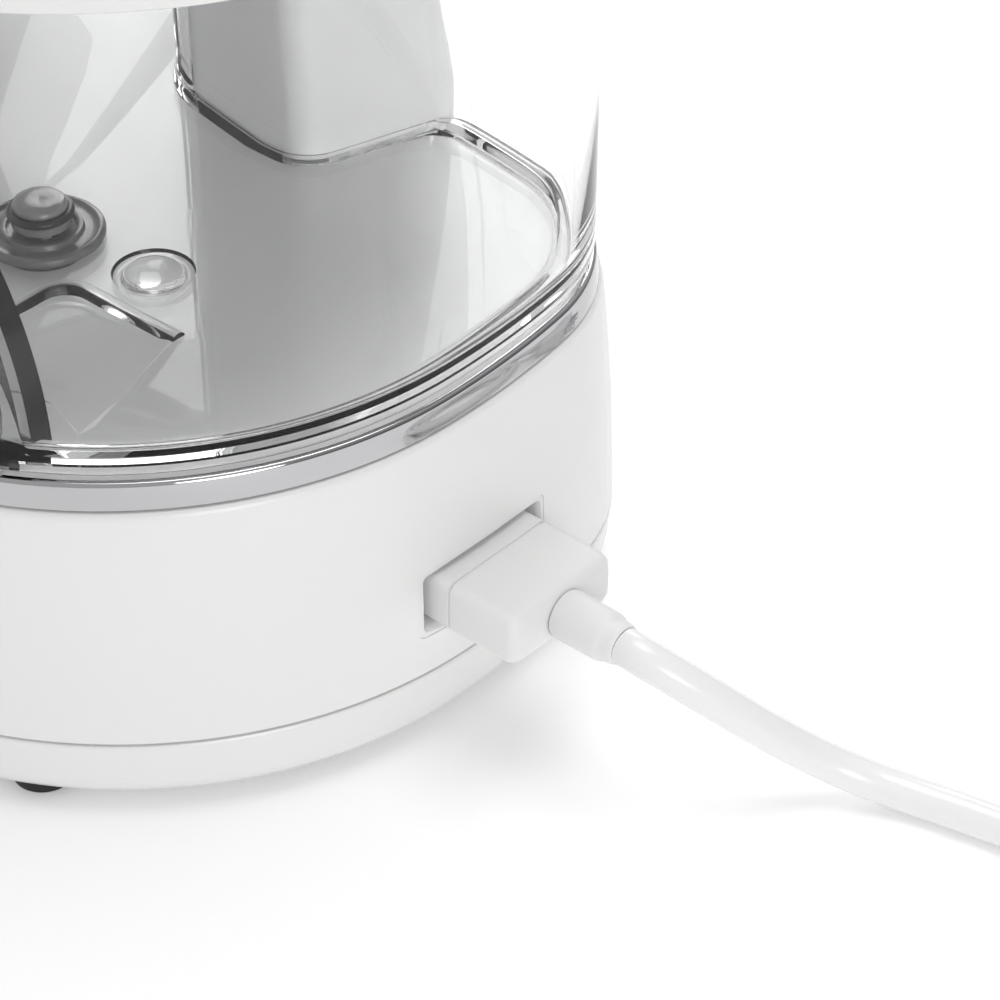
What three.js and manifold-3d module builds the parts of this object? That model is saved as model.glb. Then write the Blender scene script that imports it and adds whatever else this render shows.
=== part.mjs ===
// Countertop water flosser: a pump base with a chrome trim ring, a removable clear water tank with a
// lid, a handpiece docked in a tower behind the tank, and a detachable power lead.
// Millimetres, +Z up. The origin is the middle of the base's footprint, on the table.
// +X is the side with the power socket, -Y the front with the control pod, +Y the back with the dock.
import * as THREE from "three";
import { mergeVertices } from "three/addons/utils/BufferGeometryUtils.js";
import Module from "manifold-3d";

const wasm = await Module();
wasm.setup();

// ---------------------------------------------------------------- driving dimensions
const GAP = 0.3; // clearance between pieces that rest on each other

// Plan outline, at the top edge of the chrome ring: front arc, side arcs, back corners, back arc
const FRONT_R = 69.1;
const FRONT_CENTRE_Y = 6.5;
const SIDE_R = 149.8;
const SIDE_START = THREE.MathUtils.degToRad(-1.84);
const CORNER_R = 33.6;
const BACK_R = 231;
const BACK_Y = 62.6;

// Heights
const PAN_BOTTOM = 2;
const SEAM_Z = 14.3;
const SHOULDER_Z = 56;
const DECK_TOP = 60.2;
const RING_TOP = 61;
const TANK_BOTTOM = RING_TOP + GAP;
const TANK_FLOOR = 63.8;
const TANK_RIM = 139.8;
const LID_EDGE = 138.4;
const LID_TOP = 153.2;
const TOWER_TOP = 148;

// Dock tower and handpiece
const TOWER_X = -3;
const TOWER_FRONT_Y = 34.5;
const TOWER_SIDE_X = 1.893; // half width at y = 0, extrapolated
const TOWER_SIDE_SLOPE = 0.3164; // growth of the half width per millimetre of y
const TOWER_EDGE_R = 5;
const HANDLE_R = 12;
const HANDLE_Y = 50.2;
const HANDLE_BOTTOM = 29 + GAP;
const HANDLE_TOP = 150;
const CHANNEL_R = HANDLE_R + 0.5;

// Control pod: half an ellipse, standing on the deck at the front
const POD_HALF_WIDTH = 33;
const POD_HEIGHT = 45;
const POD_BACK_Y = -47.5;
const POD_FACE_Y = -60.5;
const DIAL_Z = 88;
const DIAL_R = 13;
const BUTTON_Z = 69;
const BUTTON_X = 9;
const BUTTON_R = 4.5;

// Outlet valve of the tank
const VALVE = { x: -5, y: -8.5 };
const VALVE_HOLE_R = 6.6;

// Pump drive, all on axes parallel to X at one height
const DRIVE_Z = 24;
const MOTOR_Y = 8;
const TOOTH_MODULE = 1;
const PINION_TEETH = 8;
const GEAR_TEETH = 28;
const GEAR_Y = MOTOR_Y - (TOOTH_MODULE * (PINION_TEETH + GEAR_TEETH)) / 2;
const GEAR_X = -9;
const GEAR_WIDTH = 5;
const CRANK_THROW = 3;
const CRANK_PIN_R = 1.5;
const YOKE_X = -2.6;
const YOKE_THICKNESS = 4;

// Power connector and lead
const LEAD_R = 3;
const PLUG_CENTRE = { y: 8.4, z: 27.5 };
const PLUG_WIDTH = 22.6;
const PLUG_HEIGHT = 9;
const SOCKET_WIDTH = 25.6;
const SOCKET_HEIGHT = 10;
const PLUG_INNER_X = 63;
const PLUG_OUTER_X = 87.9;
const RELIEF_END_X = 99.6;
const COIL = { x: 182, y: 83.8, mean: 33, half: 9.3, height: 12.6 };
const MAINS_PLUG = { rear: 152.5, front: 114.5, halfWidth: 12.5, halfHeight: 8.6 };

// ---------------------------------------------------------------- materials
function plastic(color, roughness = 0.35, metalness = 0) {
  return new THREE.MeshStandardMaterial({ color, roughness, metalness });
}
const WHITE = plastic("#efefee", 0.3);
const WHITE_SATIN = plastic("#e6e6e5", 0.45);
const GREY = plastic("#8d8f91", 0.5);
const DARK = plastic("#3c3d3f", 0.4);
const RUBBER = plastic("#17181a", 0.75);
const BOARD = plastic("#2f6b45", 0.6);
const CHROME = plastic("#d8dadc", 0.08, 1);
const STEEL = plastic("#a9acb0", 0.3, 1);
const BRASS = plastic("#b59a55", 0.35, 1);
const TUBE = plastic("#d9dcdd", 0.4);
const CLEAR = new THREE.MeshStandardMaterial({
  color: "#e9eef0",
  roughness: 0.05,
  metalness: 0,
  transparent: true,
  opacity: 0.3,
});

// ---------------------------------------------------------------- solids from three.js geometries
function solid(geometry) {
  geometry.deleteAttribute("normal");
  geometry.deleteAttribute("uv");
  const merged = mergeVertices(geometry, 1e-4);
  return new wasm.Manifold(
    new wasm.Mesh({
      numProp: 3,
      vertProperties: new Float32Array(merged.attributes.position.array),
      triVerts: new Uint32Array(merged.index.array),
    }),
  );
}

function block(x0, x1, y0, y1, z0, z1) {
  const box = new THREE.BoxGeometry(x1 - x0, y1 - y0, z1 - z0);
  return solid(box.translate((x0 + x1) / 2, (y0 + y1) / 2, (z0 + z1) / 2));
}

// A cylinder or cone from a start point along "x", "y" or "z"
function rod(axis, radius, [x, y, z], length, segments = 16, endRadius = radius) {
  const body = new THREE.CylinderGeometry(endRadius, radius, length, segments);
  body.translate(0, length / 2, 0);
  if (axis === "x") body.rotateZ(-Math.PI / 2);
  if (axis === "z") body.rotateX(Math.PI / 2);
  return solid(body.translate(x, y, z));
}

// A turned piece about a vertical axis; the profile is [radius, z] pairs
function turned(profile, x = 0, y = 0, segments = 20) {
  const points = profile.map(([r, z]) => new THREE.Vector2(r, z));
  return solid(new THREE.LatheGeometry(points, segments).rotateX(Math.PI / 2).translate(x, y, 0));
}

// A turned ring of rectangular section
function collar(inner, outer, z0, z1, x = 0, y = 0, segments = 20) {
  return turned([[inner, z0], [outer, z0], [outer, z1], [inner, z1], [inner, z0]], x, y, segments);
}

function prism(points, z0, z1) {
  const shape = new THREE.Shape(points.map(([x, y]) => new THREE.Vector2(x, y)));
  const body = new THREE.ExtrudeGeometry(shape, { depth: z1 - z0, bevelEnabled: false });
  return solid(body.translate(0, 0, z0));
}

// A closed polygon with rounded corners; a corner is [x, y, radius], counter-clockwise
function rounded(corners, segments = 4) {
  const points = [];
  corners.forEach(([x, y, radius = 0], i) => {
    const corner = new THREE.Vector2(x, y);
    if (radius === 0) {
      points.push([x, y]);
      return;
    }
    const before = corners.at(i - 1);
    const after = corners[(i + 1) % corners.length];
    const back = new THREE.Vector2(before[0], before[1]).sub(corner).normalize();
    const ahead = new THREE.Vector2(after[0], after[1]).sub(corner).normalize();
    const half = Math.acos(THREE.MathUtils.clamp(back.dot(ahead), -1, 1)) / 2;
    const reach = radius / Math.tan(half);
    const inward = back.clone().add(ahead).normalize();
    const centre = corner.clone().addScaledVector(inward, radius / Math.sin(half));
    const start = corner.clone().addScaledVector(back, reach).sub(centre).angle();
    const end = corner.clone().addScaledVector(ahead, reach).sub(centre).angle();
    const sweep = THREE.MathUtils.euclideanModulo(end - start + Math.PI, 2 * Math.PI) - Math.PI;
    for (let k = 0; k <= segments; k += 1) {
      const angle = start + (sweep * k) / segments;
      points.push([centre.x + radius * Math.cos(angle), centre.y + radius * Math.sin(angle)]);
    }
  });
  return points;
}

function roundedBox(x0, x1, y0, y1, radius) {
  return rounded([[x0, y0, radius], [x1, y0, radius], [x1, y1, radius], [x0, y1, radius]]);
}

// A prism whose outline lies in the YZ plane and which runs along X
function prismAlongX(points, x0, x1) {
  const shape = new THREE.Shape(points.map(([y, z]) => new THREE.Vector2(y, z)));
  const body = new THREE.ExtrudeGeometry(shape, { depth: x1 - x0, bevelEnabled: false });
  body.rotateX(Math.PI / 2).rotateZ(Math.PI / 2);
  return solid(body.translate(x0, 0, 0));
}

// A prism whose outline lies in the XZ plane and which runs from y1 back to y0
function prismAlongY(points, y0, y1) {
  const shape = new THREE.Shape(points.map(([x, z]) => new THREE.Vector2(x, z)));
  const body = new THREE.ExtrudeGeometry(shape, { depth: y1 - y0, bevelEnabled: false });
  return solid(body.rotateX(Math.PI / 2).translate(0, y1, 0));
}

// A round tube or cord through the given points
function tube(points, radius, sides, steps) {
  const path = new THREE.CatmullRomCurve3(points.map((p) => new THREE.Vector3(...p)), false, "centripetal");
  const section = new THREE.Shape();
  for (let k = 0; k < sides; k += 1) {
    const angle = (2 * Math.PI * k) / sides;
    const point = [radius * Math.cos(angle), radius * Math.sin(angle)];
    if (k === 0) section.moveTo(...point);
    else section.lineTo(...point);
  }
  return solid(new THREE.ExtrudeGeometry(section, { steps, extrudePath: path, bevelEnabled: false }));
}

function union(first, ...others) {
  return others.reduce((sum, part) => sum.add(part), first);
}

function cut(first, ...others) {
  return others.reduce((rest, part) => rest.subtract(part), first);
}

// ---------------------------------------------------------------- the plan outline
function circleMeeting(a, ra, b, rb) {
  const between = b.clone().sub(a);
  const along = (ra * ra - rb * rb + between.lengthSq()) / (2 * between.length());
  const across = Math.sqrt(ra * ra - along * along);
  const unit = between.normalize();
  const normal = new THREE.Vector2(-unit.y, unit.x);
  const candidates = [1, -1].map((side) =>
    a.clone().addScaledVector(unit, along).addScaledVector(normal, side * across),
  );
  return candidates.sort((p, q) => q.x - p.x)[0];
}

// Points with outward normals, counter-clockwise from the front middle; the arcs are tangent
function planOutline() {
  const front = new THREE.Vector2(0, FRONT_CENTRE_Y);
  const side = front.clone().addScaledVector(
    new THREE.Vector2(Math.cos(SIDE_START), Math.sin(SIDE_START)),
    FRONT_R - SIDE_R,
  );
  const back = new THREE.Vector2(0, BACK_Y - BACK_R);
  const corner = circleMeeting(side, SIDE_R - CORNER_R, back, BACK_R - CORNER_R);
  const sideEnd = corner.clone().sub(side).angle();
  const cornerEnd = corner.clone().sub(back).angle();
  const arcs = [
    [front, FRONT_R, -Math.PI / 2, SIDE_START, 8],
    [side, SIDE_R, SIDE_START, sideEnd, 2],
    [corner, CORNER_R, sideEnd, cornerEnd, 5],
    [back, BACK_R, cornerEnd, Math.PI / 2, 2],
  ];
  const half = [];
  for (const [centre, radius, start, end, count] of arcs) {
    for (let k = 0; k < count; k += 1) {
      const angle = start + ((end - start) * k) / count;
      const normal = new THREE.Vector2(Math.cos(angle), Math.sin(angle));
      half.push({ point: centre.clone().addScaledVector(normal, radius), normal });
    }
  }
  const mirrored = half.slice(1).reverse().map(({ point, normal }) => ({
    point: new THREE.Vector2(-point.x, point.y),
    normal: new THREE.Vector2(-normal.x, normal.y),
  }));
  const backMiddle = { point: new THREE.Vector2(0, BACK_Y), normal: new THREE.Vector2(0, 1) };
  return [...half, backMiddle, ...mirrored];
}
const PLAN = planOutline();

// A body with the plan outline, grown by each level's offset at that level's height
function shell(levels) {
  const spot = (x, y) => `${x.toFixed(3)},${y.toFixed(3)}`;
  const normals = new Map(PLAN.map(({ point, normal }) => [spot(point.x, point.y), normal]));
  const body = new THREE.ExtrudeGeometry(new THREE.Shape(PLAN.map(({ point }) => point)), {
    depth: levels.length - 1,
    steps: levels.length - 1,
    bevelEnabled: false,
  });
  const position = body.attributes.position;
  for (let i = 0; i < position.count; i += 1) {
    const normal = normals.get(spot(position.getX(i), position.getY(i)));
    const [z, offset] = levels[Math.round(position.getZ(i))];
    position.setXYZ(
      i,
      position.getX(i) + normal.x * offset,
      position.getY(i) + normal.y * offset,
      z,
    );
  }
  return solid(body);
}

// ---------------------------------------------------------------- shared shapes
// The dock tower's plan, grown by a clearance; its back lies beyond the outline
function towerPrism(grow, z0, z1) {
  const farY = 75;
  const spread = grow * Math.hypot(1, TOWER_SIDE_SLOPE);
  const halfWidth = (y) => TOWER_SIDE_X + TOWER_SIDE_SLOPE * y + spread;
  const frontY = TOWER_FRONT_Y - grow;
  const edge = TOWER_EDGE_R + grow;
  const corners = [
    [TOWER_X - halfWidth(frontY), frontY, edge],
    [TOWER_X + halfWidth(frontY), frontY, edge],
    [TOWER_X + halfWidth(farY), farY],
    [TOWER_X - halfWidth(farY), farY],
  ];
  return prism(rounded(corners), z0, z1);
}

// The pod's arch, grown by a clearance, from its back plane out through the front
function podArch(grow, zLow, yFront = -80, yBack = POD_BACK_Y + grow) {
  const steps = 16;
  const points = [[POD_HALF_WIDTH + grow, zLow]];
  for (let k = 0; k <= steps; k += 1) {
    const angle = (Math.PI * k) / steps;
    const x = (POD_HALF_WIDTH + grow) * Math.cos(angle);
    points.push([x, DECK_TOP + GAP + (POD_HEIGHT + grow) * Math.sin(angle)]);
  }
  points.push([-POD_HALF_WIDTH - grow, zLow]);
  return prismAlongY(points, yFront, yBack);
}

const HOUSING_SIDE = [[SEAM_Z, 3.3], [34, 2.75], [54.5, 1.2], [SHOULDER_Z, 0.4]];
const SCREW_PLACES = [[56, -18], [-56, -18], [50, 38], [-50, 38]];
const FOOT_PLACES = [[31.9, -48.6], [-31.9, -48.6], [42, 38], [-42, 38]];

const group = new THREE.Group();
function add(name, body, material) {
  const { vertProperties, triVerts } = body.getMesh();
  const geometry = new THREE.BufferGeometry();
  geometry.setAttribute("position", new THREE.BufferAttribute(new Float32Array(vertProperties), 3));
  geometry.setIndex(new THREE.BufferAttribute(new Uint32Array(triVerts), 1));
  geometry.computeVertexNormals();
  const mesh = new THREE.Mesh(geometry, material);
  mesh.name = name;
  group.add(mesh);
}

// ---------------------------------------------------------------- base: outer pieces
function makeHousing() {
  const ledge = -1.5; // the ring's seat, inside the shoulder
  const wall = 2.4;
  const outer = shell([...HOUSING_SIDE, [SHOULDER_Z, ledge], [DECK_TOP, ledge]]);
  const inner = shell([
    [SEAM_Z - 1, 3.3 - wall],
    [40, 2.3 - wall],
    [54, -1.9],
    [DECK_TOP - 2.6, -4.4],
  ]);
  let housing = cut(outer, inner);
  for (const [x, y] of SCREW_PLACES) {
    housing = housing.add(rod("z", 4.2, [x, y, SEAM_Z], DECK_TOP - SEAM_Z - 1, 10));
    housing = housing.subtract(rod("z", 1.9, [x, y, SEAM_Z - 1], 17, 8));
  }
  const socketHole = prismAlongX(
    roundedBox(...socketSpan(1.2 + GAP), 1.6),
    PLUG_INNER_X - 3,
    80,
  );
  return cut(
    housing,
    towerPrism(GAP, SEAM_Z - 1, RING_TOP),
    rod("z", 9.5, [VALVE.x, VALVE.y, DECK_TOP - 4], 6, 20),
    block(-12, 12, -57, -48, DECK_TOP - 4, DECK_TOP + 1),
    socketHole,
  );
}

function makePan() {
  const outer = shell([[PAN_BOTTOM, -1.6], [3, 0.6], [6.5, 2.4], [SEAM_Z - GAP, 3.3]]);
  const inner = shell([[4.6, -2.4], [SEAM_Z, 0.9]]);
  let pan = cut(outer, inner);
  for (const [x, y] of SCREW_PLACES) {
    pan = pan.add(rod("z", 5.2, [x, y, 3.5], SEAM_Z - GAP - 3.5, 10));
    pan = cut(pan, rod("z", 3.6, [x, y, 0], 9, 10), rod("z", 1.8, [x, y, 0], 20, 6));
  }
  for (const [x, y] of FOOT_PLACES) {
    pan = pan.subtract(rod("z", 5.3, [x, y, 0], 3, 14));
  }
  for (const x of [-48, -40, -16, -8]) {
    pan = pan.add(block(x, x + 2.4, MOTOR_Y - 10, MOTOR_Y + 10, 4, 9.4));
  }
  return pan;
}

add("base_housing", makeHousing(), WHITE);
add("bottom_pan", makePan(), WHITE);
add(
  "chrome_ring",
  cut(
    shell([[SHOULDER_Z + GAP, 0.42], [RING_TOP, 0]]),
    shell([[SHOULDER_Z, -1.2], [RING_TOP + 1, -1.2]]),
    towerPrism(GAP, SHOULDER_Z, RING_TOP + 1),
  ),
  CHROME,
);
FOOT_PLACES.forEach(([x, y], i) => {
  const profile = [[0, 0], [4.6, 0], [5, 0.5], [5, 3 - GAP], [0, 3 - GAP]];
  add(`foot_${i + 1}`, turned(profile, x, y, 14), RUBBER);
});
SCREW_PLACES.forEach(([x, y], i) => {
  const head = cut(rod("z", 3, [x, y, 6.4], 2.2, 12), rod("z", 1.3, [x, y, 6], 1.6, 6));
  add(`pan_screw_${i + 1}`, head.add(rod("z", 1.4, [x, y, 8.5], 15, 6)), STEEL);
});

// ---------------------------------------------------------------- base: dock tower
function makeTower() {
  const envelope = union(
    shell([...HOUSING_SIDE, [SHOULDER_Z + 0.1, -0.2]]),
    shell([[SHOULDER_Z, -0.2], [TOWER_TOP - 2, -0.2], [TOWER_TOP, -2.2]]),
  );
  const channel = union(
    rod("z", CHANNEL_R, [TOWER_X, HANDLE_Y, 29], 140, 24),
    block(TOWER_X - CHANNEL_R, TOWER_X + CHANNEL_R, HANDLE_Y, 80, 29, 160),
  );
  const hoseSlot = block(TOWER_X - 6, TOWER_X + 6, 41, 80, 0, 40);
  return cut(
    towerPrism(0, SEAM_Z, TOWER_TOP).intersect(envelope),
    channel,
    hoseSlot,
    rod("y", 3.6, [TOWER_X, 30, 20], 14, 16),
  );
}

function makeHoseOutlet() {
  return cut(
    union(
      rod("y", 3.2, [TOWER_X, 29, 20], 16.5, 12),
      rod("y", 5.4, [TOWER_X, 31, 20], 3, 14),
      rod("y", 3.6, [TOWER_X, 42.5, 20], 2, 12, 2.8),
    ),
    rod("y", 1.4, [TOWER_X, 20, 20], 40, 8),
  );
}

add("dock_tower", makeTower(), WHITE_SATIN);
add("hose_outlet", makeHoseOutlet(), GREY);

// ---------------------------------------------------------------- base: control pod
const POD_CAVITY_FRONT = POD_FACE_Y + 2.4;
function makePod() {
  const outline = shell([
    [DECK_TOP + GAP, -1.6],
    [TANK_BOTTOM - 0.1, -1.6],
    [TANK_BOTTOM, -0.4],
    [DECK_TOP + POD_HEIGHT + 2, 0.1],
  ]);
  const solidArch = podArch(0, DECK_TOP + GAP, POD_FACE_Y).intersect(outline);
  const cavityLimit = shell([[DECK_TOP, -2.9], [DECK_TOP + POD_HEIGHT, -2.4]]);
  const cavity = podArch(-2.4, DECK_TOP, POD_CAVITY_FRONT).intersect(cavityLimit);
  const band = cut(podArch(2, DECK_TOP, POD_BACK_Y - 2.5, 0), podArch(-1, 0, -80, 0));
  let pod = cut(solidArch, cavity, band, rod("y", 4.2, [0, -80, DIAL_Z], 30, 16));
  for (const side of [-1, 1]) {
    const centre = [side * BUTTON_X, -80, BUTTON_Z];
    pod = pod.subtract(rod("y", BUTTON_R + GAP, centre, 30, 16));
  }
  return pod;
}

function makePodGasket() {
  const outline = shell([[DECK_TOP + GAP, -1], [DECK_TOP + POD_HEIGHT + 5, -1]]);
  const band = cut(podArch(0.2, DECK_TOP + GAP, POD_BACK_Y - 2.2, POD_BACK_Y), podArch(-0.7, 0, -80, 0));
  return band.intersect(outline);
}

function makeDial() {
  const cap = union(
    rod("y", DIAL_R, [0, POD_FACE_Y - 4.8, DIAL_Z], 4.5, 32),
    rod("y", DIAL_R - 1.6, [0, POD_FACE_Y - 5.2, DIAL_Z], 0.5, 24),
    rod("y", 3.6, [0, POD_FACE_Y - 1, DIAL_Z], 8, 14),
  );
  const grips = 12;
  let dial = cap;
  for (let k = 0; k < grips; k += 1) {
    const angle = (2 * Math.PI * k) / grips;
    const x = (DIAL_R + 0.5) * Math.cos(angle);
    const z = DIAL_Z + (DIAL_R + 0.5) * Math.sin(angle);
    dial = dial.subtract(rod("y", 1.4, [x, POD_FACE_Y - 10, z], 9, 6));
  }
  return dial.subtract(block(-0.7, 0.7, POD_FACE_Y - 10, POD_FACE_Y - 4.6, DIAL_Z + 6, DIAL_Z + 11.4));
}

function makeButton(x) {
  return union(
    rod("y", BUTTON_R, [x, POD_FACE_Y - 1.8, BUTTON_Z], 6),
    rod("y", BUTTON_R + 1, [x, POD_CAVITY_FRONT + GAP, BUTTON_Z], 1.4),
  );
}

add("control_pod", makePod(), WHITE);
add("pod_gasket", makePodGasket(), RUBBER);
add("pressure_dial", makeDial(), GREY);
add("power_button", makeButton(-BUTTON_X), GREY);
add("mode_button", makeButton(BUTTON_X), GREY);
add(
  "pressure_regulator",
  cut(
    union(
      block(-9, 9, -54.4, -50.2, DIAL_Z - 8, DIAL_Z + 7),
      rod("z", 2, [-5, -52.2, 75.6], 6, 12),
      rod("z", 2, [5, -52.2, 75.6], 6, 12),
    ),
    rod("y", 3.9, [0, -60, DIAL_Z], 9.5, 20),
  ),
  DARK,
);
const switches = [-BUTTON_X, BUTTON_X].map((x) =>
  block(x - 2.6, x + 2.6, -54.6, -52, BUTTON_Z - 2.6, BUTTON_Z + 2.6),
);
add("switch_board", union(block(-15, 15, -52.6, -51, 62.5, 75), ...switches), BOARD);

// ---------------------------------------------------------------- base: pump and drive
function toothedWheel(teeth, x, y, z, width, phase = 0) {
  const pitch = (TOOTH_MODULE * teeth) / 2;
  const tip = pitch + 0.8 * TOOTH_MODULE;
  const root = pitch - 1.15 * TOOTH_MODULE;
  const points = [];
  for (let k = 0; k < teeth; k += 1) {
    const step = (2 * Math.PI) / teeth;
    for (const [share, radius] of [[-0.3, root], [-0.13, tip], [0.13, tip], [0.3, root]]) {
      const angle = step * (k + phase + share);
      points.push([y + radius * Math.cos(angle), z + radius * Math.sin(angle)]);
    }
  }
  return prismAlongX(points, x, x + width);
}

const PISTON_X = YOKE_X + YOKE_THICKNESS / 2;
add(
  "motor",
  union(
    rod("x", 13.6, [-52, MOTOR_Y, DRIVE_Z], 36, 20),
    rod("x", 4, [-16, MOTOR_Y, DRIVE_Z], 2.2, 16),
    rod("x", 3, [-54, MOTOR_Y, DRIVE_Z], 2, 16),
  ),
  STEEL,
);
add(
  "motor_bracket",
  cut(
    union(
      block(-13.4, -11.2, -20, 24, 12, 44),
      block(-13.4, -4, 20, 24, 12, 16),
      rod("x", 2, [-12, GEAR_Y, DRIVE_Z], 6.6, 16),
    ),
    rod("x", 4.4, [-20, MOTOR_Y, DRIVE_Z], 20, 20),
  ),
  STEEL,
);
// The pinion stands with a tooth gap towards the wheel, which stands with a tooth towards the pinion
add(
  "motor_pinion",
  union(
    toothedWheel(PINION_TEETH, GEAR_X, MOTOR_Y, DRIVE_Z, GEAR_WIDTH, 0.5),
    rod("x", 2.4, [GEAR_X - 4.2, MOTOR_Y, DRIVE_Z], 4.3, 16),
  ),
  BRASS,
);
add(
  "drive_gear",
  union(
    cut(
      toothedWheel(GEAR_TEETH, GEAR_X, GEAR_Y, DRIVE_Z, GEAR_WIDTH),
      rod("x", 2.3, [GEAR_X - 5, GEAR_Y, DRIVE_Z], 9, 16),
    ),
    rod("x", CRANK_PIN_R, [GEAR_X + GEAR_WIDTH - 0.5, GEAR_Y, DRIVE_Z + CRANK_THROW], 6.4, 12),
  ),
  WHITE_SATIN,
);
const YOKE_HALF = 8;
const WINDOW_HALF = CRANK_THROW + CRANK_PIN_R + 0.4;
function yokeBlock(x0, x1, half) {
  return block(x0, x1, GEAR_Y - half, GEAR_Y + half, DRIVE_Z - half, DRIVE_Z + half);
}
add(
  "pump_piston",
  union(
    cut(
      yokeBlock(YOKE_X, YOKE_X + YOKE_THICKNESS, YOKE_HALF),
      yokeBlock(YOKE_X - 5, YOKE_X + 10, WINDOW_HALF),
    ),
    rod("y", 1.9, [PISTON_X, -34, DRIVE_Z], 16.5, 12),
    rod("y", 4.6, [PISTON_X, -38, DRIVE_Z], 5, 20),
  ),
  WHITE_SATIN,
);
add(
  "pump_head",
  cut(
    union(
      rod("y", 8, [PISTON_X, -52, DRIVE_Z], 26, 18),
      block(PISTON_X - 9, PISTON_X + 9, -48, -40, 5, DRIVE_Z),
      rod("z", 3.4, [PISTON_X, -46, DRIVE_Z], 12, 12),
      rod("x", 3.4, [PISTON_X, -46, DRIVE_Z], 12, 12),
    ),
    rod("y", 4.7, [PISTON_X, -48, DRIVE_Z], 40, 20),
    rod("z", 1.5, [PISTON_X, -46, DRIVE_Z], 20, 8),
    rod("x", 1.5, [PISTON_X, -46, DRIVE_Z], 20, 8),
  ),
  GREY,
);
add(
  "inlet_spigot",
  union(
    turned(
      [[0, 47], [7, 47], [8.4, 50], [8.4, DECK_TOP - 3.2], [9.1, DECK_TOP - 3.2], [9.1, DECK_TOP - 0.2],
        [7.8, DECK_TOP - 0.2], [7.8, 50.4], [6.6, 48.6], [0, 48.6]],
      VALVE.x,
      VALVE.y,
      16,
    ),
    rod("x", 2.1, [VALVE.x + 8, VALVE.y, 52], 5, 12),
  ),
  GREY,
);
add(
  "inlet_tube",
  tube(
    [[VALVE.x + 13.4, VALVE.y, 52], [12, -8.6, 52], [17, -20, 47], [13, -36, 44],
      [PISTON_X + 1, -45.8, 40.5], [PISTON_X, -46, 38.4], [PISTON_X, -46, 36.4]],
    2.4,
    8,
    16,
  ),
  TUBE,
);
add(
  "outlet_tube",
  tube(
    [[PISTON_X + 12.4, -46, DRIVE_Z], [14.4, -46, DRIVE_Z], [19, -41, 23], [20, -30, 21], [16, -5, 20],
      [13, 12, 20], [3, 20, 20], [TOWER_X, 26, 20], [TOWER_X, 28.6, 20]],
    2.4,
    8,
    20,
  ),
  TUBE,
);

// ---------------------------------------------------------------- base: power socket and board
function socketSpan(grow) {
  const { y, z } = PLUG_CENTRE;
  return [
    y - SOCKET_WIDTH / 2 - grow,
    y + SOCKET_WIDTH / 2 + grow,
    z - SOCKET_HEIGHT / 2 - grow,
    z + SOCKET_HEIGHT / 2 + grow,
  ];
}

const SOCKET_FLOOR_X = 62.2;
add(
  "power_socket",
  cut(
    prismAlongX(roundedBox(...socketSpan(1.2), 1.3), SOCKET_FLOOR_X - 1.6, 80).intersect(shell(HOUSING_SIDE)),
    prismAlongX(roundedBox(...socketSpan(0), 0.8), SOCKET_FLOOR_X, 90),
    rod("x", 1.3, [50, PLUG_CENTRE.y - 4, PLUG_CENTRE.z], 20, 12),
    rod("x", 1.3, [50, PLUG_CENTRE.y + 4, PLUG_CENTRE.z], 20, 12),
  ),
  WHITE_SATIN,
);
for (const [name, side] of [["socket_pin_1", -1], ["socket_pin_2", 1]]) {
  add(name, rod("x", 1, [56, PLUG_CENTRE.y + side * 4, PLUG_CENTRE.z], 11.5, 12), BRASS);
}
add(
  "circuit_board",
  union(
    block(24, 49, -14, 26, 9.4, 11),
    block(30, 46, 0, 18, 10.8, 27),
    rod("z", 5, [36, -8, 10.8], 18, 20),
  ),
  BOARD,
);

// ---------------------------------------------------------------- water tank
const TANK_OUTER = [[TANK_BOTTOM, -2.2], [62.1, -0.9], [63.6, -0.4], [TANK_RIM, 0.5]];
function makeTank() {
  const cavity = shell([[TANK_FLOOR, -6.8], [65, -4.7], [67.6, -3.3], [TANK_RIM + 1, -2]]);
  const outer = cut(
    shell(TANK_OUTER),
    towerPrism(0.6, 0, 160),
    podArch(0.8, 0),
  );
  const inner = cut(cavity, towerPrism(3.1, 0, 160), podArch(3.3, 0));
  const pocket = prism(rounded([[7, -38, 1], [30, -38, 1], [30, -14.8, 1], [7, -14.8, 5]]), 62.6, 70);
  return cut(
    outer,
    inner,
    rod("z", VALVE_HOLE_R, [VALVE.x, VALVE.y, 55], 20, 20),
    rod("z", 6.4, [15.2, -4.2, 62.6], 10, 18),
    pocket.intersect(inner.translate([0, 0, -1.2])),
  );
}

add("tank_shell", makeTank(), CLEAR);
add(
  "valve_seat",
  turned(
    [[5.2, 58.2], [6.2, 58.2], [6.2, TANK_FLOOR + GAP], [9.9, TANK_FLOOR + GAP], [9.9, 65.2], [8.6, 66],
      [6.4, 66], [6.4, 67.2], [5.4, 67.2], [3.2, 66.6], [3.2, 65.2], [5.2, 65.2], [5.2, 58.2]],
    VALVE.x,
    VALVE.y,
    16,
  ),
  DARK,
);
add(
  "valve_plunger",
  turned(
    [
      ...[[0, 57], [4.4, 57], [4.4, 58.4], [1.6, 58.4], [1.6, 67.6], [5, 67.6], [5, 68.4]],
      ...[[3.6, 68.4], [3.6, 70.2], [4.6, 70.2], [4.6, 71.3], [3.8, 72], [0, 72]],
    ],
    VALVE.x,
    VALVE.y,
    16,
  ),
  GREY,
);
add(
  "valve_o_ring",
  turned(
    [[3.9, 68.7], [4.9, 68.7], [5.3, 69], [5.3, 69.6], [4.9, 69.9], [3.9, 69.9], [3.9, 68.7]],
    VALVE.x,
    VALVE.y,
    16,
  ),
  RUBBER,
);
const SPRING_TURNS = 4;
const SPRING_STEPS = 28;
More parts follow.
